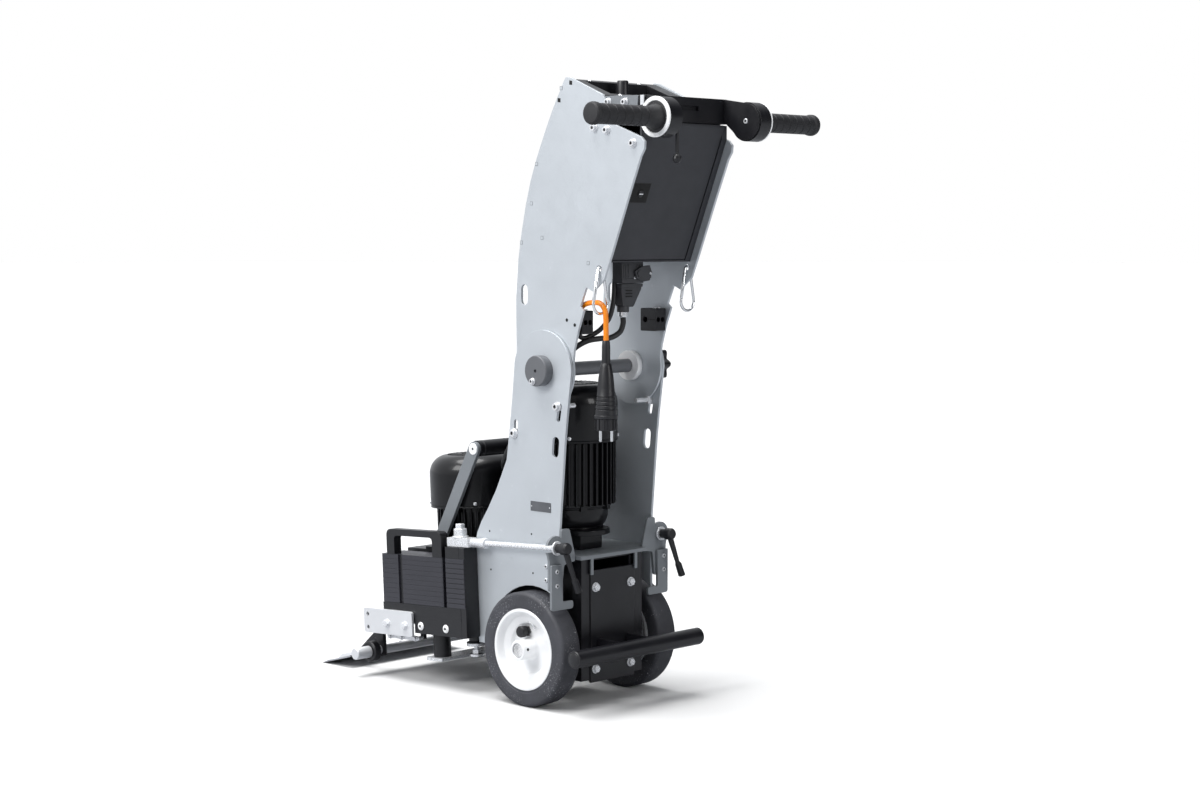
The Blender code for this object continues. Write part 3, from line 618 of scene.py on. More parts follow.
def socket_screw(body, axis, centre, way, size, height, washer=True, material=ZINC):
    """A cap screw with its hexagon socket, on a washer."""
    low = add_washer(body, axis, centre, way, size * 1.35, 1.5, material) if washer else 0.0
    top = low + height
    floor = top - min(2.6, height * 0.6)
    head = [(0, low), (size, low), (size, top - 0.7), (size - 0.7, top), (size * 0.52, top),
            (size * 0.48, floor), (0, floor)]
    fasten(turned(head, axis, centre, 24, way), material, body)
    # Painted shade: a near-black fill in the lower half of the socket.
    hole = cylinder(axis, centre, size * 0.46, way * (floor - 0.1), way * ((floor + top) / 2), 6)
    fasten(hole, HOLE_SHADE_AND_SEAMS, body)


def make_fittings():
    for (body, material), shapes in FITTINGS.items():
        obj = linked("fittings_" + body + "_" + material.name, joined(*shapes), Matrix())
        obj.data.shade_smooth()
        obj.data.set_sharp_from_angle(angle=FITTING_SHARP_FROM)
        dress(obj, material, body)


# ---- chassis


def make_chassis():
    for sign in (1, -1):
        face = sign * SIDE_FACE
        for y, z in ((-110, 294), (-3.5, 299), (-107, 226), (0, 231)):
            # Painted shade: near-black discs where the side plates have holes.
            fasten(cylinder("x", (face, y, z), 1.8, -0.2, 0.15, 14, sign), HOLE_SHADE_AND_SEAMS)
        rivet = turned([(3.2, 0), (4.2, 0), (4.2, 0.3), (3.2, 0.3)], "x", (face, -54, 251), 18, sign)
        fasten(rivet, SILVER)
        label = prism(rect((-5, 45), (340, 357), 1.2), "x", SIDE_FACE, SIDE_FACE + 0.6, sign)
        fasten(label, LABEL)
        for y in (-2.2, 42.2):
            fasten(cylinder("x", (face, y, 348.5), 1.2, 0.5, 1, 14, sign), ZINC)
        for y, z in ((61, 524), (-45.6, 472)):
            socket_screw("chassis", "x", (face, y, z), sign, 6.5, 6)
            fasten(cylinder("x", (sign * 110.5, y, z), 4.2, -34, 2, 18, sign), ZINC)
            fasten(turned(drum(8, 0, 7, 1, 1), "x", (sign * 112, y, z), 6, -sign), ZINC)
    for x, z in ((44, 207), (-44, 207), (44, 64), (-44, 64)):
        hex_bolt("chassis", "y", (x, 80, z), 1, 6.8)
    centre = (0, 140, 103)
    bar = turned([(0, -157), (13.8, -157), (15, -155.8), (15, 155.8), (13.8, 157), (0, 157)], "x", centre, 64)
    for sign in (1, -1):
        fasten(turned(drum(11.6, 156, 157.6, 0.6, 0.4), "x", centre, 40, sign), BLACK)
    lugs = [block((sign * 33, sign * 39), (80.3, 138), (90, 116)) for sign in (1, -1)]
    piece("bumper_bar_tube", joined(bar, *lugs), BLACK, edge=0.5, replaces="bumper_bar")


def make_brackets():
    low, high = BRACKET_ROD_Z - 6, BRACKET_ROD_Z + 6
    bracket = [(84.5, 256.5), (84.5, 266), (98, 314), (117, 314), (118, 298)]
    bracket += arc((ROD_X, BRACKET_ROD_Z), 21, 122, -35, 16)
    bracket += [(146, 262), (146, 209), (116, 209), (111, 252)]
    bracket = rounded(bracket, [1, 2, 6, 4, 4] + [0] * 16 + [3, 6, 6, 4])
    scraper = [(94, 176), (146, 176), (146, 255), (119, 255), (119, 190), (94, 190)]
    scraper = rounded(scraper, [6, 6, 2, 2, 3, 5])
    for side, sign in LEFT_RIGHT:
        mouth = block((sign * 124, sign * 165), (60, 80), (low, high))
        shape = prism(mirrored(bracket, sign), "y", 66, 71)
        piece("clamp_bracket_plate_" + side, shape, GREY, edge=0.7, cut=(mouth,),
              replaces="clamp_bracket_" + side)
        shape = prism(mirrored(scraper, sign), "y", 71.3, 76.3)
        piece("wheel_scraper_blade_" + side, shape, GREY, edge=0.7, replaces="wheel_scraper_" + side)
        for z in (243, 218.5):
            socket_screw("chassis", "y", (sign * 134, 76.3, z), 1, 4, 2.2, washer=False)
        for z in (246, 222):
            socket_screw("chassis", "x", (sign * SIDE_FACE, 33, z), sign, 3.8, 2.4, washer=False)


def make_pivot():
    centre = (0, *PIVOT)
    rod = [(0, -117.3), (12, -117.3), (12, 117.3), (26.5, 117.3), (26.5, 132.6), (25.2, 134), (3.2, 134),
           (2.6, 130), (0, 130)]
    piece("pivot_cross_rod", turned(rod, "x", centre, 72), PIVOT_GREY, replaces="pivot_rod")
    for side, sign in LEFT_RIGHT:
        collar = [(12.1, 94.7), (25.7, 94.7), (26.5, 95.5), (26.5, 105.5), (12.1, 105.5)]
        piece("pivot_collar_" + side, turned(collar, "x", centre, 72, sign), WHITE)
    socket_screw("chassis", "x", (134, 18.2, 566), 1, 4.6, 4)
    steps, lobes, radius, rise = 112, 7, 27.2, 3.8
    outline = []
    for turn in (360 * i / steps for i in range(steps)):
        outline.append(polar(radius + rise * math.cos(math.radians(lobes * turn)), turn, PIVOT))
    star = prism(outline, "x", -176.6, -157)
    hub = turned([(0, 134.5), (14, 134.5), (14.4, 150), (17, 159), (0, 159)], "x", centre, 48, -1)
    cap = turned([(0, 175), (12, 175), (11, 176.6), (0, 176.9)], "x", centre, 48, -1)
    piece("pivot_star_knob", joined(star, hub, cap), PLASTIC, "pivot_knob", edge=1.6, segments=3,
          replaces="pivot_knob")


def finned(centre_y, radius, depth, fins, low, high):
    """Lengthwise cooling fins with rounded tips around a core."""
    core = radius - depth
    half = [(0.06, radius), (0.12, radius - 0.5), (0.17, core + 1), (0.36, core)]
    fin = mirrored(reversed(half), -1) + half
    points = []
    for i in range(fins):
        points += [polar(r, 360 / fins * (i + offset), (0, centre_y)) for offset, r in fin]
    return prism(points, "z", low, high)


def cowl_profile(radius, low, crown):
    """A thin fan cowl, open below, with a rolled rim and a domed top."""
    wall, drop, flat = 2, 34, radius * 0.62
    outer = [(0, crown), (flat * 0.55, crown), (flat * 0.57, crown - 1.2), (flat * 0.95, crown - 1.2),
             (flat, crown)]
    for i in range(1, 13):
        turn = math.radians(90 * i / 12)
        outer.append((flat + (radius - flat) * math.sin(turn), crown - drop * (1 - math.cos(turn))))
    dome = len(outer)
    outer += [(radius, low + 5), (radius - 0.8, low + 4.2), (radius, low + 3.4), (radius, low + 0.6)]
    outer += [(radius - 0.6, low), (radius - wall, low)]
    inner = [(r - wall if r > flat else r, h - wall) for r, h in reversed(outer[:dome])]
    inner = [(r, h) for r, h in inner if h > crown - drop + 0.5 and r < radius - wall]
    return outer + [(radius - wall, crown - drop)] + inner


def make_cowl(name, node, body, centre_y, low, crown):
    radius, place = 86, (0, centre_y, 0)
    shell = turned(cowl_profile(radius, low, crown), "z", place, 96)
    piece(name, shell, MOTOR_BLACK, body, replaces=node)
    for i in range(36):
        bar = block((radius * 0.3, radius * 0.6), (-1.6, 1.6), (crown - 1.6, crown + 1.2))
        fasten(spun(bar, place, 10 * i), MOTOR_BLACK, body)
    for turn in (45, 135, 225, 315):
        spot = (*polar(radius, turn, (0, centre_y)), low + 9)
        screw = turned([(0, 0), (3.6, 0), (3.4, 1.2), (2.2, 2), (0, 2.2)], "x", segments=16)
        fasten(spun(screw, spot, turn), ZINC, body)


def make_drive_motor():
    place = (0, DRIVE_MOTOR_Y, 0)
    neck = block((-27, 27), (-30, 27), (264.3, 292))
    flange = turned(drum(52, 290.5, 300, 2, 1), "z", segments=72)
    bell = [(0, 299), (58, 299), (60, 300), (60, 304), (62, 305), (66, 312), (68.6, 320), (69, 326),
            (69, 336), (71, 337), (71, 341), (0, 341)]
    bell = turned(bell, "z", place, 96)
    end = turned([(0, 338), (70, 338), (74, 340), (74, 346), (0, 346)], "z", place, 72)
    for turn in range(20, 380, 45):
        lug = block((66, 77), (-6, 6), (334, 344))
        fasten(spun(lug, place, turn), MOTOR_BLACK)
    piece("drive_motor_reducer", joined(neck, flange, bell, end), MOTOR_BLACK, edge=1)
    fins = finned(DRIVE_MOTOR_Y, 83, 10, 40, 343, 453)
    crown = turned(drum(72, 452, 462, 2, 1), "z", place, 72)
    piece("drive_motor_body", joined(fins, crown), MOTOR_BLACK, replaces="drive_motor")
    base = prism(rect((-38, 38), (352, 428), 5), "y", -138, -96)
    lid = prism(rect((-40, 40), (350, 430), 7), "y", -150, -139)
    seam = prism(rect((-37, 37), (353, 427), 5), "y", -139.5, -137.5)
    piece("terminal_box", joined(base, lid, seam), PLASTIC, edge=1)
    for x in (-32, 32):
        for z in (358, 422):
            socket_screw("chassis", "y", (x, -150, z), -1, 3.2, 1.2, washer=False)
    for turn in (35, 145, 215, 325):
        spot = (*polar(62, turn, (0, DRIVE_MOTOR_Y)), 336.5)
        hex_bolt("chassis", "z", spot, -1, 5, washer=False)
    make_cowl("drive_motor_fan_cowl", "drive_motor_cowl", "chassis", DRIVE_MOTOR_Y, 454, 555)


# ---- wheels and drive


def make_wheels():
    centre = (0, 0, WHEEL_R)
    tread = [(71.8, 98.5), (88, 98)]
    tread += arc((93.5, 104.5), 6.5, -90, 0, 7) + arc((93.5, 136.5), 6.5, 0, 90, 7)
    tread += [(88, 143), (76, 142.6), (75, 142), (71.8, 142)]
    rim = [(71.5, 98.5), (71.5, 141.4), (70.7, 142.5), (66.5, 142.5), (65.3, 141.8), (62.5, 138.2),
           (60.5, 134), (58.5, 131.2), (56, 130.2), (47, 129), (45, 127.8), (43.8, 124.5), (42.2, 121.6),
           (40, 121), (21, 121), (19.6, 121.6), (18.4, 123), (17.5, 126), (17.5, 153.6), (16.2, 155),
           (12.8, 155), (12.8, 108), (24, 108), (26, 115), (45, 115), (48, 121), (51, 124), (60, 125),
           (63, 121), (66, 98.5)]
    pin = [(0, 101.5), (4, 101.5), (4, 121.3), (7, 121.3), (7, 127.5), (6, 129), (8.5, 129.4), (10, 130.6),
           (10, 138), (8.8, 140), (4, 141), (0, 141)]
    collar = [(7.2, 120.6), (9.6, 120.6), (9.6, 125), (8.6, 126), (7.2, 126)]
    clip = [(123, -24, 146), (126, -15, 150), (128, -2, 149), (127, 8, 143), (124, 12, 136)]
    for side, sign in LEFT_RIGHT:
        body = "wheel_" + side
        piece("wheel_tread_" + side, turned(tread, "x", centre, 128, sign), TYRE, body,
              replaces="wheel_tyre_" + side)
        hole = cylinder("x", (0, *PLUNGER), 4.4, 112, 124, 20, sign)
        piece("wheel_disc_" + side, turned(rim, "x", centre, 128, sign), RIM, body, cut=(hole,),
              replaces="wheel_rim_" + side)
        piece("index_knob_" + side, turned(pin, "x", (0, *PLUNGER), 32, sign), PLASTIC, "plunger_" + side,
              replaces="index_plunger_" + side)
        fasten(turned(collar, "x", (0, *PLUNGER), 6, sign), PLASTIC, body)
        fasten(tube(smooth_path([(sign * x, y, z) for x, y, z in clip], 24), 1.3, 10), ZINC, body)
        # Painted shade: a near-black spot for the set-screw's hole in the hub boss.
        fasten(cylinder("y", (sign * 146, 0, WHEEL_R + 3), 2.6, 15.5, 17.6, 14), HOLE_SHADE_AND_SEAMS, body)
        fasten(turned(drum(12.4, 120, 153, 1.2, 1), "x", centre, 48, sign), RIM, "axle")


# ---- blade unit


def on_blade(along, above=0):
    """A point in the blade's section: its distance behind the edge, and its height over the underside."""
    return TIP[0] + along, TIP[1] + along * BLADE_SLOPE + above


def make_housing():
    for sign in (1, -1):
        face = sign * HOUSING_FACE
        for y in (-124, -56):
            socket_screw("unit", "x", (face, y, 54), sign, 5.6, 2.6, washer=False, material=WHITE)
            ring = turned([(5.4, 0), (7.6, 0), (7.2, 0.9), (5.4, 0.9)], "x", (face, y, 54), 28, sign)
            fasten(ring, WHITE, "unit")
        for i in range(SLABS):
            low = WEIGHT_LOW + i * SLAB_PITCH
            slab = prism(rect((-49.5, -1), (low + 0.6, low + 8.3), 0.8, 3), "x", 149.3, 150.8, sign)
            fasten(slab, SLAB, "unit")
        centre = (sign * LEVELLER[0], LEVELLER[1], 0)
        for low, high, radius in ((21, 27, 18), (1, 7, 12.5)):
            disc = [(0, low), (radius - 0.8, low), (radius, low + 0.8), (radius, high - 0.8),
                    (radius - 0.8, high), (0, high)]
            fasten(turned(disc, "z", centre, 48), ZINC, "unit")
        collar = turned([(0, 27), (13, 27), (13.5, 28), (13.5, 41), (0, 41)], "z", centre, 36)
        fasten(collar, PLASTIC, "unit")
        fasten(cylinder("z", centre, 5, 6, 40, 24), ZINC, "unit")
        fasten(cylinder("z", centre, 9, 7, 14, 6), ZINC, "unit")
    foot = prism(rect((-127, 127), (-140, -97), 3), "z", -12, -6)
    piece("foot_plate", foot, ZINC, "unit", edge=0.6, replaces="support_foot")
    posts = [cylinder("z", (x, -118.5, 0), 16, -7, 39.5, 48) for x in (105, -105)]
    piece("foot_posts", joined(*posts), BLACK, "unit")


def make_blade_motor():
    place = (0, BLADE_MOTOR_Y, 0)
    fins = finned(BLADE_MOTOR_Y, 75, 9, 38, 200, 262)
    base = turned([(0, 192.3), (70, 192.3), (72, 194), (72, 204), (0, 204)], "z", place, 72)
    crown = cylinder("z", place, 70, 254, 280, 72)
    piece("blade_motor_body", joined(fins, base, crown), MOTOR_BLACK, "unit",
          replaces="blade_motor")
    make_cowl("blade_motor_fan_cowl", "blade_motor_cowl", "unit", BLADE_MOTOR_Y, 261, 357)


def make_lift_frame():
    for sign in (1, -1):
        centre = (sign * 95, *LIFT_GRIP)
        disc = turned([(2.6, 0), (10.5, 0), (10.5, 1), (9.8, 1.6), (2.6, 1.6)], "x", centre, 40, sign)
        fasten(disc, WHITE, "unit")
        fasten(cylinder("x", centre, 2.7, 0, 0.6, 16, sign), HOLE_SHADE_AND_SEAMS, "unit")
    half = [(14.5, 77.2), (13.9, 77.7), (13.9, 78.5), (14.5, 79), (14.5, 87.2), (0, 87.2)]
    grip = turned([(r, -x) for r, x in reversed(half)] + half, "x", (0, *LIFT_GRIP), 48)
    piece("lift_grip_tube", grip, BLACK, "unit", replaces="lift_grip")


def make_weights():
    """Each weight as its stack of slabs with the slots for its handle, and the handle with its strap."""
    low, high = WEIGHT_LOW, WEIGHT_HIGH
    plan = [(97, -226), (150, -226), (150, -180), (146, -180), (146, -169.5), (150, -169.5), (150, -61.5),
            (149, -59), (97, -59)]
    plan = rounded(plan, [2, 2.5, 0.6, 0.6, 0.6, 0.6, 0.6, 0.6, 2], 3)
    core = [(99, -225.5), (149.5, -225.5), (149.5, -180.5), (145.5, -180.5), (145.5, -169), (149.5, -169),
            (149.5, -61.5), (99, -61.5)]
    handle = [(-211, 181), (-211, 228), (-59.5, 228), (-59.5, 181), (-85, 181), (-85, 216), (-189.5, 216),
              (-189.5, 181)]
    handle = rounded(handle, [0.5, 13, 13, 0.5, 0.5, 8, 8, 0.5])
    for side, sign in LEFT_RIGHT:
        body = "weight_" + side
        stack = [prism(mirrored(core, sign), "z", low + 1, high - 1)]
        for i in range(SLABS):
            start = low + i * SLAB_PITCH
            stack.append(prism(mirrored(plan, sign), "z", start + 0.2, start + SLAB_PITCH - 0.2))
        grip = prism(handle, "x", 133, 150, sign)
        strap = block((sign * 144, sign * 146.8), (-179, -170.5), (low + 2, high - 1))
        piece("weight_stack_" + side, joined(*stack), SLAB, body, edge=0.3, replaces=body)
        piece("weight_handle_" + side, joined(grip, strap), BLACK, body, edge=0.6)


def make_tie_rods():
    outline = rect((118.5, 144), (-52, 4.6), [3, 3, 8, 8])
    bar = [(0, 4), (8.5, 4), (8.5, 27), (7.6, 28), (7.6, 29), (9.5, 30), (9.5, 38.8), (8.4, 40), (5, 40.6),
           (5, 214), (5.6, 215.5), (12.5, 215.5), (12.5, 218), (11.6, 219), (0, 219)]
    for side, sign in LEFT_RIGHT:
        body = "tie_rod_" + side
        x = sign * ROD_X
        stud = (x, -28, 0)
        eye = prism(mirrored(outline, sign), "z", 202.3, 218)
        nut = turned(drum(12.4, 220, 234, 0.8, 1), "z", stud, 6)
        tip = turned(drum(8.6, 233, 242.4, 0.8, 0.8), "z", stud, 6)
        rod = turned(bar, "y", (x, 0, ROD_Z), 36)
        piece("tie_rod_bar_" + side, joined(eye, nut, tip, rod), ZINC, body, edge=0.5, replaces=body)
        fasten(turned(drum(14.5, 218.3, 220.8, 0.7, 0.8), "z", stud, 36), ZINC, body)


def make_blade_head():
    body = "blade_head"
    arm = [on_blade(-372 - TIP[0], 9.6), on_blade(-343 - TIP[0], 9.6), (-274, 33.2), (-252, 33.2), (-252, 45),
           (-277, 45)]
    (_, far), (_, near) = arm[:2]
    arm += [(-347, near + 4), (-372, far + 3.5)]
    parts = [prism(rect((-276, -233), (40, 66), 1.5), "x", -149.8, 149.8)]
    parts += [block((sign * 97, sign * 149.8), (-274, -151), (40.5, 65.5)) for sign in (1, -1)]
    parts += [prism(rect((-283, -261), (-16, 42), 6), "x", 118, 126, sign) for sign in (1, -1)]
    parts += [block((-34, 34), (-240, -96), (34, 41))]
    parts += [prism(arm, "x", 98, 112, sign) for sign in (1, -1)]
    yoke = block((-20, 20), (BLADE_MOTOR_Y - 17, BLADE_MOTOR_Y + 17), (25, 45))
    piece("carrier_body", joined(*parts), BLACK, body, edge=0.7, cut=(yoke,),
          replaces="blade_carrier")
    for side, sign in LEFT_RIGHT:
        spots = [(0, -266.5, z) for z in (67.5, 43)]
        holes = [cylinder("x", spot, 3.6, 140, 170, 20, sign) for spot in spots]
        plate = prism(rect((-278, -142), (33, 79), 6), "x", 150.4, 156, sign)
        piece("carrier_side_plate_" + side, plate, PLATE, body, edge=0.8, cut=holes)
        # Painted shade: a near-black disc at the bottom of each bolt hole.
        for spot in spots:
            fasten(cylinder("x", spot, 3.5, 150.5, 151, 16, sign), HOLE_SHADE_AND_SEAMS, body)
        for y, z in ((-211.5, 54), (-161.5, 53)):
            hex_bolt(body, "x", (sign * 156, y, z), sign, 6.4)
        strap = prism(rect((-236, -148), (23, 31), 3.5), "x", 131, 135, sign)
        fasten(strap, ZINC, body)
        for y in (-228, -196, -158):
            hex_bolt(body, "x", (sign * 135, y, 27), sign, 4.6)
        for y in (-228, -158):
            fasten(cylinder("x", (0, y, 27), 3, 112, 131, 16, sign), ZINC, body)
            fasten(block((sign * 112, sign * 118), (y - 5, y + 5), (24, 42)), BLACK, body)
    blade = prism([TIP, on_blade(85), on_blade(85, 3), on_blade(16, 3), (TIP[0] + 0.5, TIP[1] + 0.5)], "x",
                  -140, 140)
    piece("blade_edge", blade, BLADE_STEEL, body, edge=0.12, replaces="blade")
    low, high = 3.3, 9.3
    jaw = [on_blade(26, low), on_blade(84, low), on_blade(84, high), on_blade(34, high)]
    piece("blade_clamp_jaw", prism(jaw, "x", -122, 122), PLATE, body, edge=0.6, replaces="blade_clamp")
    lean = Matrix.Rotation(math.atan(BLADE_SLOPE), 4, "X")
    for x in (-85, -43, 0, 43, 85):
        washer = turned(drum(8.6, 0, 1.2), "z", segments=28)
        bolt = joined(washer, turned(drum(6.6, 1, 6, 0.8, 0.8), "z", segments=6))
        bolt.transform(Matrix.Translation((x, *on_blade(62, high - 0.4))) @ lean)
        fasten(bolt, ZINC, body)
    half = [(8.5, 151), (11, 152.5), (11, 184.6), (9.6, 186), (0, 186)]
    shaft = turned([(r, -x) for r, x in reversed(half)] + half, "x", (0, *ROLLER), 36)
    piece("roller_shaft", shaft, PLATE, "guide_roller", replaces="guide_roller")
    wheel = [(8.6, 137), (17.6, 137), (19, 138.4), (19, 150.6), (17.6, 152), (14, 152), (13.4, 150.8),
             (8.6, 150.8)]
    for side, sign in LEFT_RIGHT:
        shape = turned(wheel, "x", (0, *ROLLER), 64, sign)
        piece("roller_tyre_" + side, shape, PLASTIC, "guide_roller")


# ---- column


def make_column():
    for side, sign in LEFT_RIGHT:
        face = sign * COLUMN_FACE
        for y, z in ((65, 1063), (5, 937), (-8, 870), (-33, 803), (18, 811), (129, 769)):
            for half, proud, material in ((3.2, 0.2, GREY), (2.5, 0.35, SILVER)):
                tab = rect((y - half, y + half), (z - half, z + half))
                fasten(prism(tab, "x", COLUMN_FACE, COLUMN_FACE + proud, sign), material, "column")
        # Painted shade: near-black quads stand for the slots in the plate.
        for y, z in ((88, 1071), (60, 1043)):
            slot = [(y - 3.5, z - 3), (y + 3.5, z - 4), (y + 3.5, z + 3), (y - 3.5, z + 4)]
            fasten(prism(slot, "x", COLUMN_FACE, COLUMN_FACE + 0.15, sign), HOLE_SHADE_AND_SEAMS, "column")
        # Painted shade: near-black discs stand for the holes in the plate.
        for y, z in ((78, 672), (97, 664)):
            fasten(cylinder("x", (face, y, z), 3, 0, 0.2, 18, sign), HOLE_SHADE_AND_SEAMS, "column")
        for y, z in ((172.7, 989.4), (144, 994), (233, 966)):
            socket_screw("column", "x", (face, y, z), sign, 5.6, 5.5)
        bracket = rounded([(152, 1003.5), (236, 1003.5), (238, 1044), (163, 1046), (152, 1040)], 2)
        bracket = prism(bracket, "x", 101.4, 105.6, sign)
        piece("frame_bracket_" + side, bracket, GREY, "column", edge=0.6)
        for y, z in ((171.3, 1035.5), (209.4, 1034)):
            socket_screw("column", "x", (sign * 105.6, y, z), sign, 5.2, 5.5)
        fasten(block((sign * 102.5, sign * 105.5), (243, 251), (1028, 1044)), ZINC, "column")
    make_catch()
    make_connector()
    make_cable_blocks()
    corner = prism(rounded([(215, 961), (238.5, 948.6), (239, 992), (215, 995)], 6), "x", -104.6, -101.6)
    fasten(corner, BLACK, "column")
    fasten(block((-92, 92), (226, 244), (1001.4, 1006.5)), BLACK, "column")
    socket_screw("column", "x", (-101.4, 228, 972), 1, 4.2, 3)
    knob = [(0, 1040.3), (15, 1040.3), (15, 1045), (13.5, 1046.5), (11, 1048), (10, 1075), (9.4, 1077.2),
            (8, 1078.3), (0, 1078.3)]
    piece("speed_knob", turned(knob, "z", (10, 112, 0)), PLASTIC, "control_knob", replaces="control_knob")
    for x in (-60, 62):
        for y, z in ((84, 1075.84), (156, 1048.04)):
            socket_screw("column", "z", (x, y, z), 1, 4, 2.6, washer=False, material=CHROME)


def make_catch():
    """The catch in its recess, on the sloping back of the control box."""
    slope = Matrix.Translation((0, 164, 774)) @ Matrix.Rotation(math.atan2(222, 89) - math.pi / 2, 4, "X")
    surround = prism(rect((47.5, 88.5), (102, 138.5), 2.5), "y", -0.3, 0.2)
    # Painted shade: the recess is a near-black sheet that stands for its shaded floor.
    recess = prism(rect((49, 87), (103.4, 137), 2), "y", -0.3, 0.35)
    disc = turned(drum(6.2, 0.2, 2.2, 0.8, 0.6), "y", (68, 0, 119), 28)
    slit = block((63.5, 72.5), (2, 2.6), (118.1, 119.9))
    for shape, material in ((surround, BLACK), (recess, HOLE_SHADE_AND_SEAMS), (disc, PLASTIC), (slit, ZINC)):
        shape.transform(slope)
        fasten(shape, material, "column")


def make_connector():
    """A ribbed fixed housing, and under it the tapered hood with its collar, pegs and cable exit."""
    base = prism(rect((-24, 30), (106, 130), 3), "z", 741, 769.7)
    lip = prism(rect((-24, 30), (105, 131), 3.5), "z", 733.5, 741.5)
    ribs = [block((x, x + 2), (104.8, 131.2), (743, 766)) for x in (-21, -15, -9, 13, 19, 25)]
    piece("connector_base", joined(base, lip, *ribs), HOOD, "column", edge=0.9, replaces="connector_hood")
    hood = [(-22, 732.8), (28, 732.8), (28, 722), (24.5, 696), (21, 693), (-1, 693), (-4, 696), (-22, 724)]
    hood = prism(rounded(hood, [1, 1, 8, 3, 3, 3, 10, 8]), "y", 109, 127)
    collar = prism(rect((-23.5, 29.5), (732.8, 727), 1.5), "y", 107.4, 128.6)
    mouth = turned([(0, 684), (10, 684), (10.6, 686), (10.6, 694), (0, 694)], "z", (*EXIT, 0), 36)
    piece("connector_cap", joined(hood, collar, mouth), HOOD, "column", edge=1.1)
    for y, way in ((127, 1), (109, -1)):
        # Painted shade: near-black slits stand for the vents' openings.
        for z in (710, 715, 720):
            fasten(block((2, 18), (y, y + way * 0.8), (z, z + 2)), HOLE_SHADE_AND_SEAMS, "column")
        hex_bolt("column", "y", (-2, y + way * 1.5, 742), way, 3.4, washer=False)
    for y in (100.4, 135.6):
        peg = turned([(0, -1.2), (5.2, -1.2), (5.6, 0), (5.2, 1.2), (0, 1.2)], "y", (-8, y, 750), 28)
        fasten(peg, HOOD, "column")
    fasten(cylinder("y", (-35, 0, 750), 2.2, 99.5, 136.5, 20), ZINC, "connector_latch")


def make_cable_blocks():
    for side, sign in LEFT_RIGHT:
        bores = [cylinder("x", (0, 83, 668), 5.2, 70, 92, 28, sign)]
        bores += [cylinder("y", (sign * x, 0, 668), 4.6, 100, 112, 28) for x in (85, 96)]
        shape = prism(rect((72, 108), (648, 688), 2.5), "x", 78, 103.6, sign)
        piece("cable_block_" + side, shape, PLASTIC, "column", edge=0.8, cut=bores,
              replaces="cable_clamp_" + side)
        for reach in ((90, 107), (73, 76)):
            fasten(block((sign * 77.8, sign * 78.2), reach, (667.4, 668.6)), HOLE_SHADE_AND_SEAMS, "column")
        for x in (85, 96):
            socket_screw("column", "z", (sign * x, 98, 688), 1, 3.2, 2, washer=False)


def make_handles():
    y, z = HANDLE
    grip = [(0, 128), (21.5, 128), (20.5, 131), (18.4, 136), (17, 142), (16.3, 150)]
    for start in (158, 176, 194, 212, 230, 248):
        grip += [(16.5, start), (15.7, start + 0.9), (15.7, start + 1.9), (16.5, start + 2.8)]
    grip += [(16.5, 262), (18, 264.5), (18.4, 267), (18.4, 272), (17.4, 275), (15.4, 276.6), (13, 277),
             (0, 277)]
    ring = [(25.6, 125.4), (32.4, 125.4), (33, 126), (33, 128), (32.2, 128.9), (26.6, 128.9), (26, 128.3),
            (25.6, 127)]
    disc = [(21.6, 125.4), (25.4, 125.4), (25.4, 127.4), (21.6, 127.8)]
    for side, sign in LEFT_RIGHT:
        body = "handle_" + side
        piece("hand_grip_" + side, turned(grip, "x", (0, y, z), 72, sign), GRIP, body,
              replaces="handle_grip_" + side)
        piece("grip_ring_" + side, turned(ring, "x", (0, y, z), 96, sign), WHITE, body)
        fasten(turned(disc, "x", (0, y, z), 72, sign), PLASTIC, body)
        socket_screw("column", "x", (sign * 95, y + 1.5, z + 1), -sign, 4.4, 2, washer=False)
    hub = turned([(0, 74), (7.2, 74), (8, 75), (8, 94.7), (0, 94.7)], "x", (0, y, z), 36)
    stem = tube([(75, y, z), (75, y, z - 30), (75, y, 945)], [4, 2.9, 2.6], 16)
    ball = [(0, 932.5), (3.6, 933), (6.4, 935.5), (7.5, 940), (6.4, 944.5), (3.6, 947), (0, 947.5)]
    lever = joined(hub, stem, turned(ball, "z", (75, y, 0), 32))
    piece("release_lever", lever, PLASTIC, "control_lever", replaces="control_lever")


def make_hooks():
    for side, sign, body in (("left", 1, "column"), ("right", -1, "carabiner_right")):
        x = sign * 108.5
        outline = arc((x, 755), 6.5, 155, 25, 13) + arc((x, 701), 16.5, 5, -185, 25)
        path = [Vector((a, 155, b)) for a, b in outline]
        loop = tube(path, 2.5, 16, closed=True)
        gate = [path[12].lerp(path[13], t) for t in (0.12, 0.14, 0.9, 0.92)]
        shape = joined(loop, tube(gate, [2.5, 3, 3, 2.5], 16))
        piece("snap_hook_" + side, shape, CHROME, body, replaces="carabiner_" + side)


def curve_piece(name, path, radius, material, replaces=None):
    """A round cord on the column, along the path."""
    curve = bpy.data.curves.new(name, "CURVE")
    curve.dimensions = "3D"
    curve.bevel_depth = radius * MM
    curve.bevel_resolution = 5
    curve.use_fill_caps = True
    spline = curve.splines.new("POLY")
    spline.points.add(len(path) - 1)
    for target, point in zip(spline.points, path):
        target.co = (*(MACHINE @ point), 1)
    return dress(added(name, curve), material, "column", replaces)


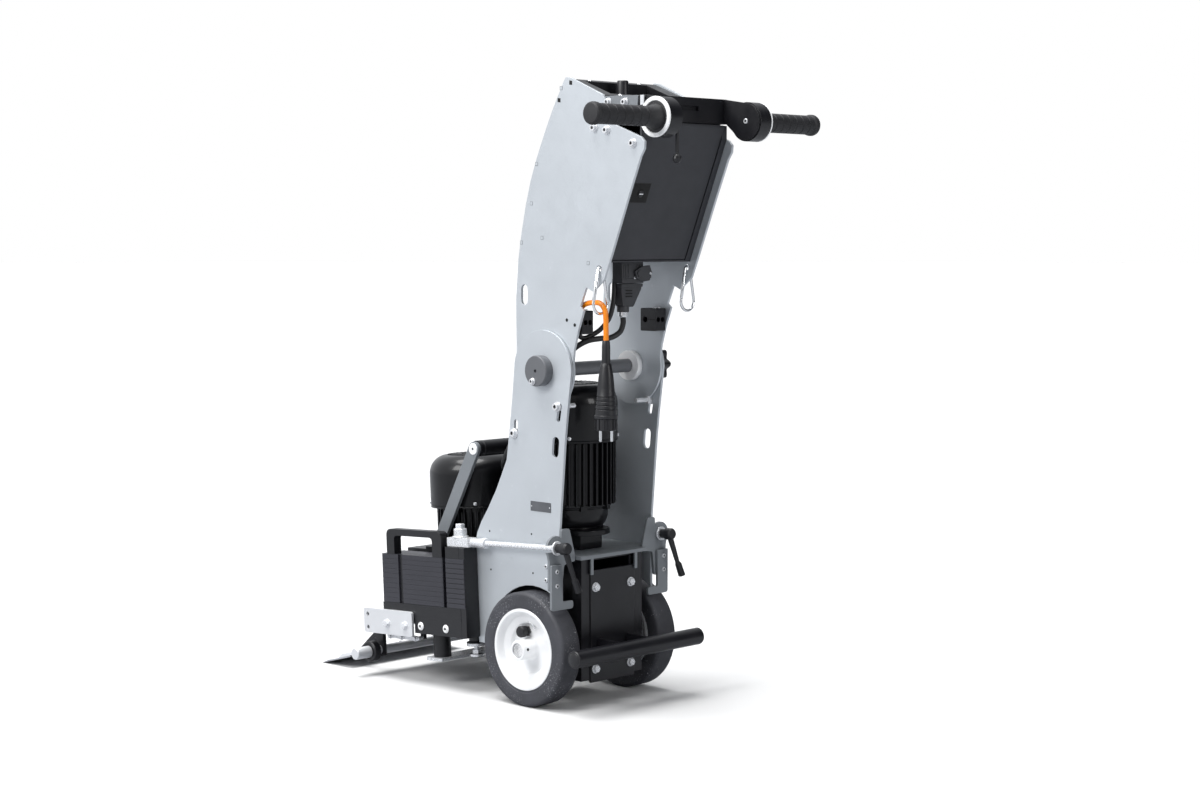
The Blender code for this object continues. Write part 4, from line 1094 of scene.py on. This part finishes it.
def make_plug():
    body = [(0, 640), (5.4, 640), (6.6, 637), (7.1, 630), (7.4, 602), (8.8, 600), (9.6, 596), (11.2, 588),
            (12.8, 578), (14.2, 562), (15.4, 548)]
    for start in (547, 540, 533, 526):
        wider = (547 - start) * 0.1
        body += [(15.8 + wider, start), (14.9 + wider, start - 0.9), (15.0 + wider, start - 2),
                 (16.1 + wider, start - 2.9)]
    body += [(18.4, 515), (20, 514), (20, 509.5), (18.6, 508.6), (17.6, 508), (17.6, 490), (16.8, 489),
             (0, 489)]
    parts = [turned(body, "z", (*PLUG, 0))]
    for i in range(12):
        parts.append(spun(block((17, 19), (-1.6, 1.6), (490, 508.5)), (*PLUG, 0), 30 * i))
    plug = piece("mains_plug_body", joined(*parts), PLASTIC, "column", replaces="mains_plug")
    pin = [(0, 470), (1.6, 470), (2.4, 471.2), (2.4, 490), (0, 490)]
    pins = [turned(pin, "z", (PLUG[0] + off, PLUG[1] - off, 0), 20) for off in (-6.65, 6.65)]
    return [plug, piece("plug_pins", joined(*pins), CHROME, "column")]


def make_cords():
    route = [(95, 97, 689), (95.3, 98.5, 694), (97.5, 108, 699), (101, 123, 702), (104, 138, 703),
             (105, 150, 702), (105, 158, 697), (104.5, 162.5, 688), (104, 163.5, 674), (103, 163, 655),
             (103, 163, 640.6), (103, 163, 618)]
    path = smooth_path(route, 40)
    cord = curve_piece("orange_cord", path, 4.5, ORANGE, "mains_cord")
    make_plug()
    route = [(15, 118, 675), (15, 118, 664), (22, 117, 650), (40, 113, 641), (62, 109, 640), (84, 99, 636),
             (95, 80, 623), (98, 64, 604), (98.5, 60, 584), (99, 50, 550), (99, -20, 490), (93, -72, 456),
             (84, -106, 420), (68, -124, 402), (54, -128, 398), (40.6, -128, 398)]
    lead = linked("motor_lead", tube(smooth_path(route, 90), 4.8), MACHINE)
    lead.data.shade_smooth()
    lead.data.materials.append(CABLE)
    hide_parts("motor_cable")
    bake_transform(lead)
    route = [(30, 112, 734), (31, 112, 716), (34, 112, 696), (42, 111, 674), (56, 105, 656), (70, 98, 646),
             (82, 93, 641), (90, 90, 643), (93, 90, 649)]
    curve_piece("box_lead", smooth_path(route, 40), 4.2, CABLE)
    sleeve = turned([(0, 676), (7, 676), (8.6, 678.5), (8.6, 684), (7.6, 685), (0, 685)], "z", (*EXIT, 0), 24)
    nut = turned(drum(9.6, 684.5, 691.5, 1, 1.5), "z", (*EXIT, 0), 6)
    piece("cable_gland", joined(sleeve, nut), CHROME, "column")
    gland = turned([(5, 40.2), (9, 40.2), (9, 46), (7.4, 50), (5, 51)], "x", (0, *TERMINAL), 28)
    piece("terminal_gland", gland, PLASTIC)


make_cords()
make_chassis()
make_brackets()
make_pivot()
make_drive_motor()
make_wheels()
make_housing()
make_blade_motor()
make_lift_frame()
make_weights()
make_tie_rods()
make_blade_head()
make_column()
make_handles()
make_hooks()
make_fittings()
for material, edge, nodes in (
    (SILVER, 0.9, ("side_plate_left", "side_plate_right", "column_plate_left", "column_plate_right")),
    (GREY, 1, ("lift_arm_left", "lift_arm_right")),
    (GREY, 1.2, ("motor_mount_plate",)),
    (BLACK, 1, ("gearbox_housing", "front_housing", "top_frame")),
    (BLACK, 1.2, ("handle_frame",)),
    (CHARCOAL, 0.8, ("control_box",)),
    (CHARCOAL, 1, ("rear_cover",)),
    (HOOD, 0.8, ("connector_latch",)),
    (PLASTIC, 0.9, ("clamp_lever_left", "clamp_lever_right")),
    (PLASTIC, 1, ("switchgear",)),
    (GROUND, 0.3, ("drive_axle", "pinion_shaft", "eccentric_shaft")),
):
    for node in nodes:
        refine(node, material, edge)
refine("gearbox_cover", BLACK, 1.2).name = "gearbox_cover_plate"
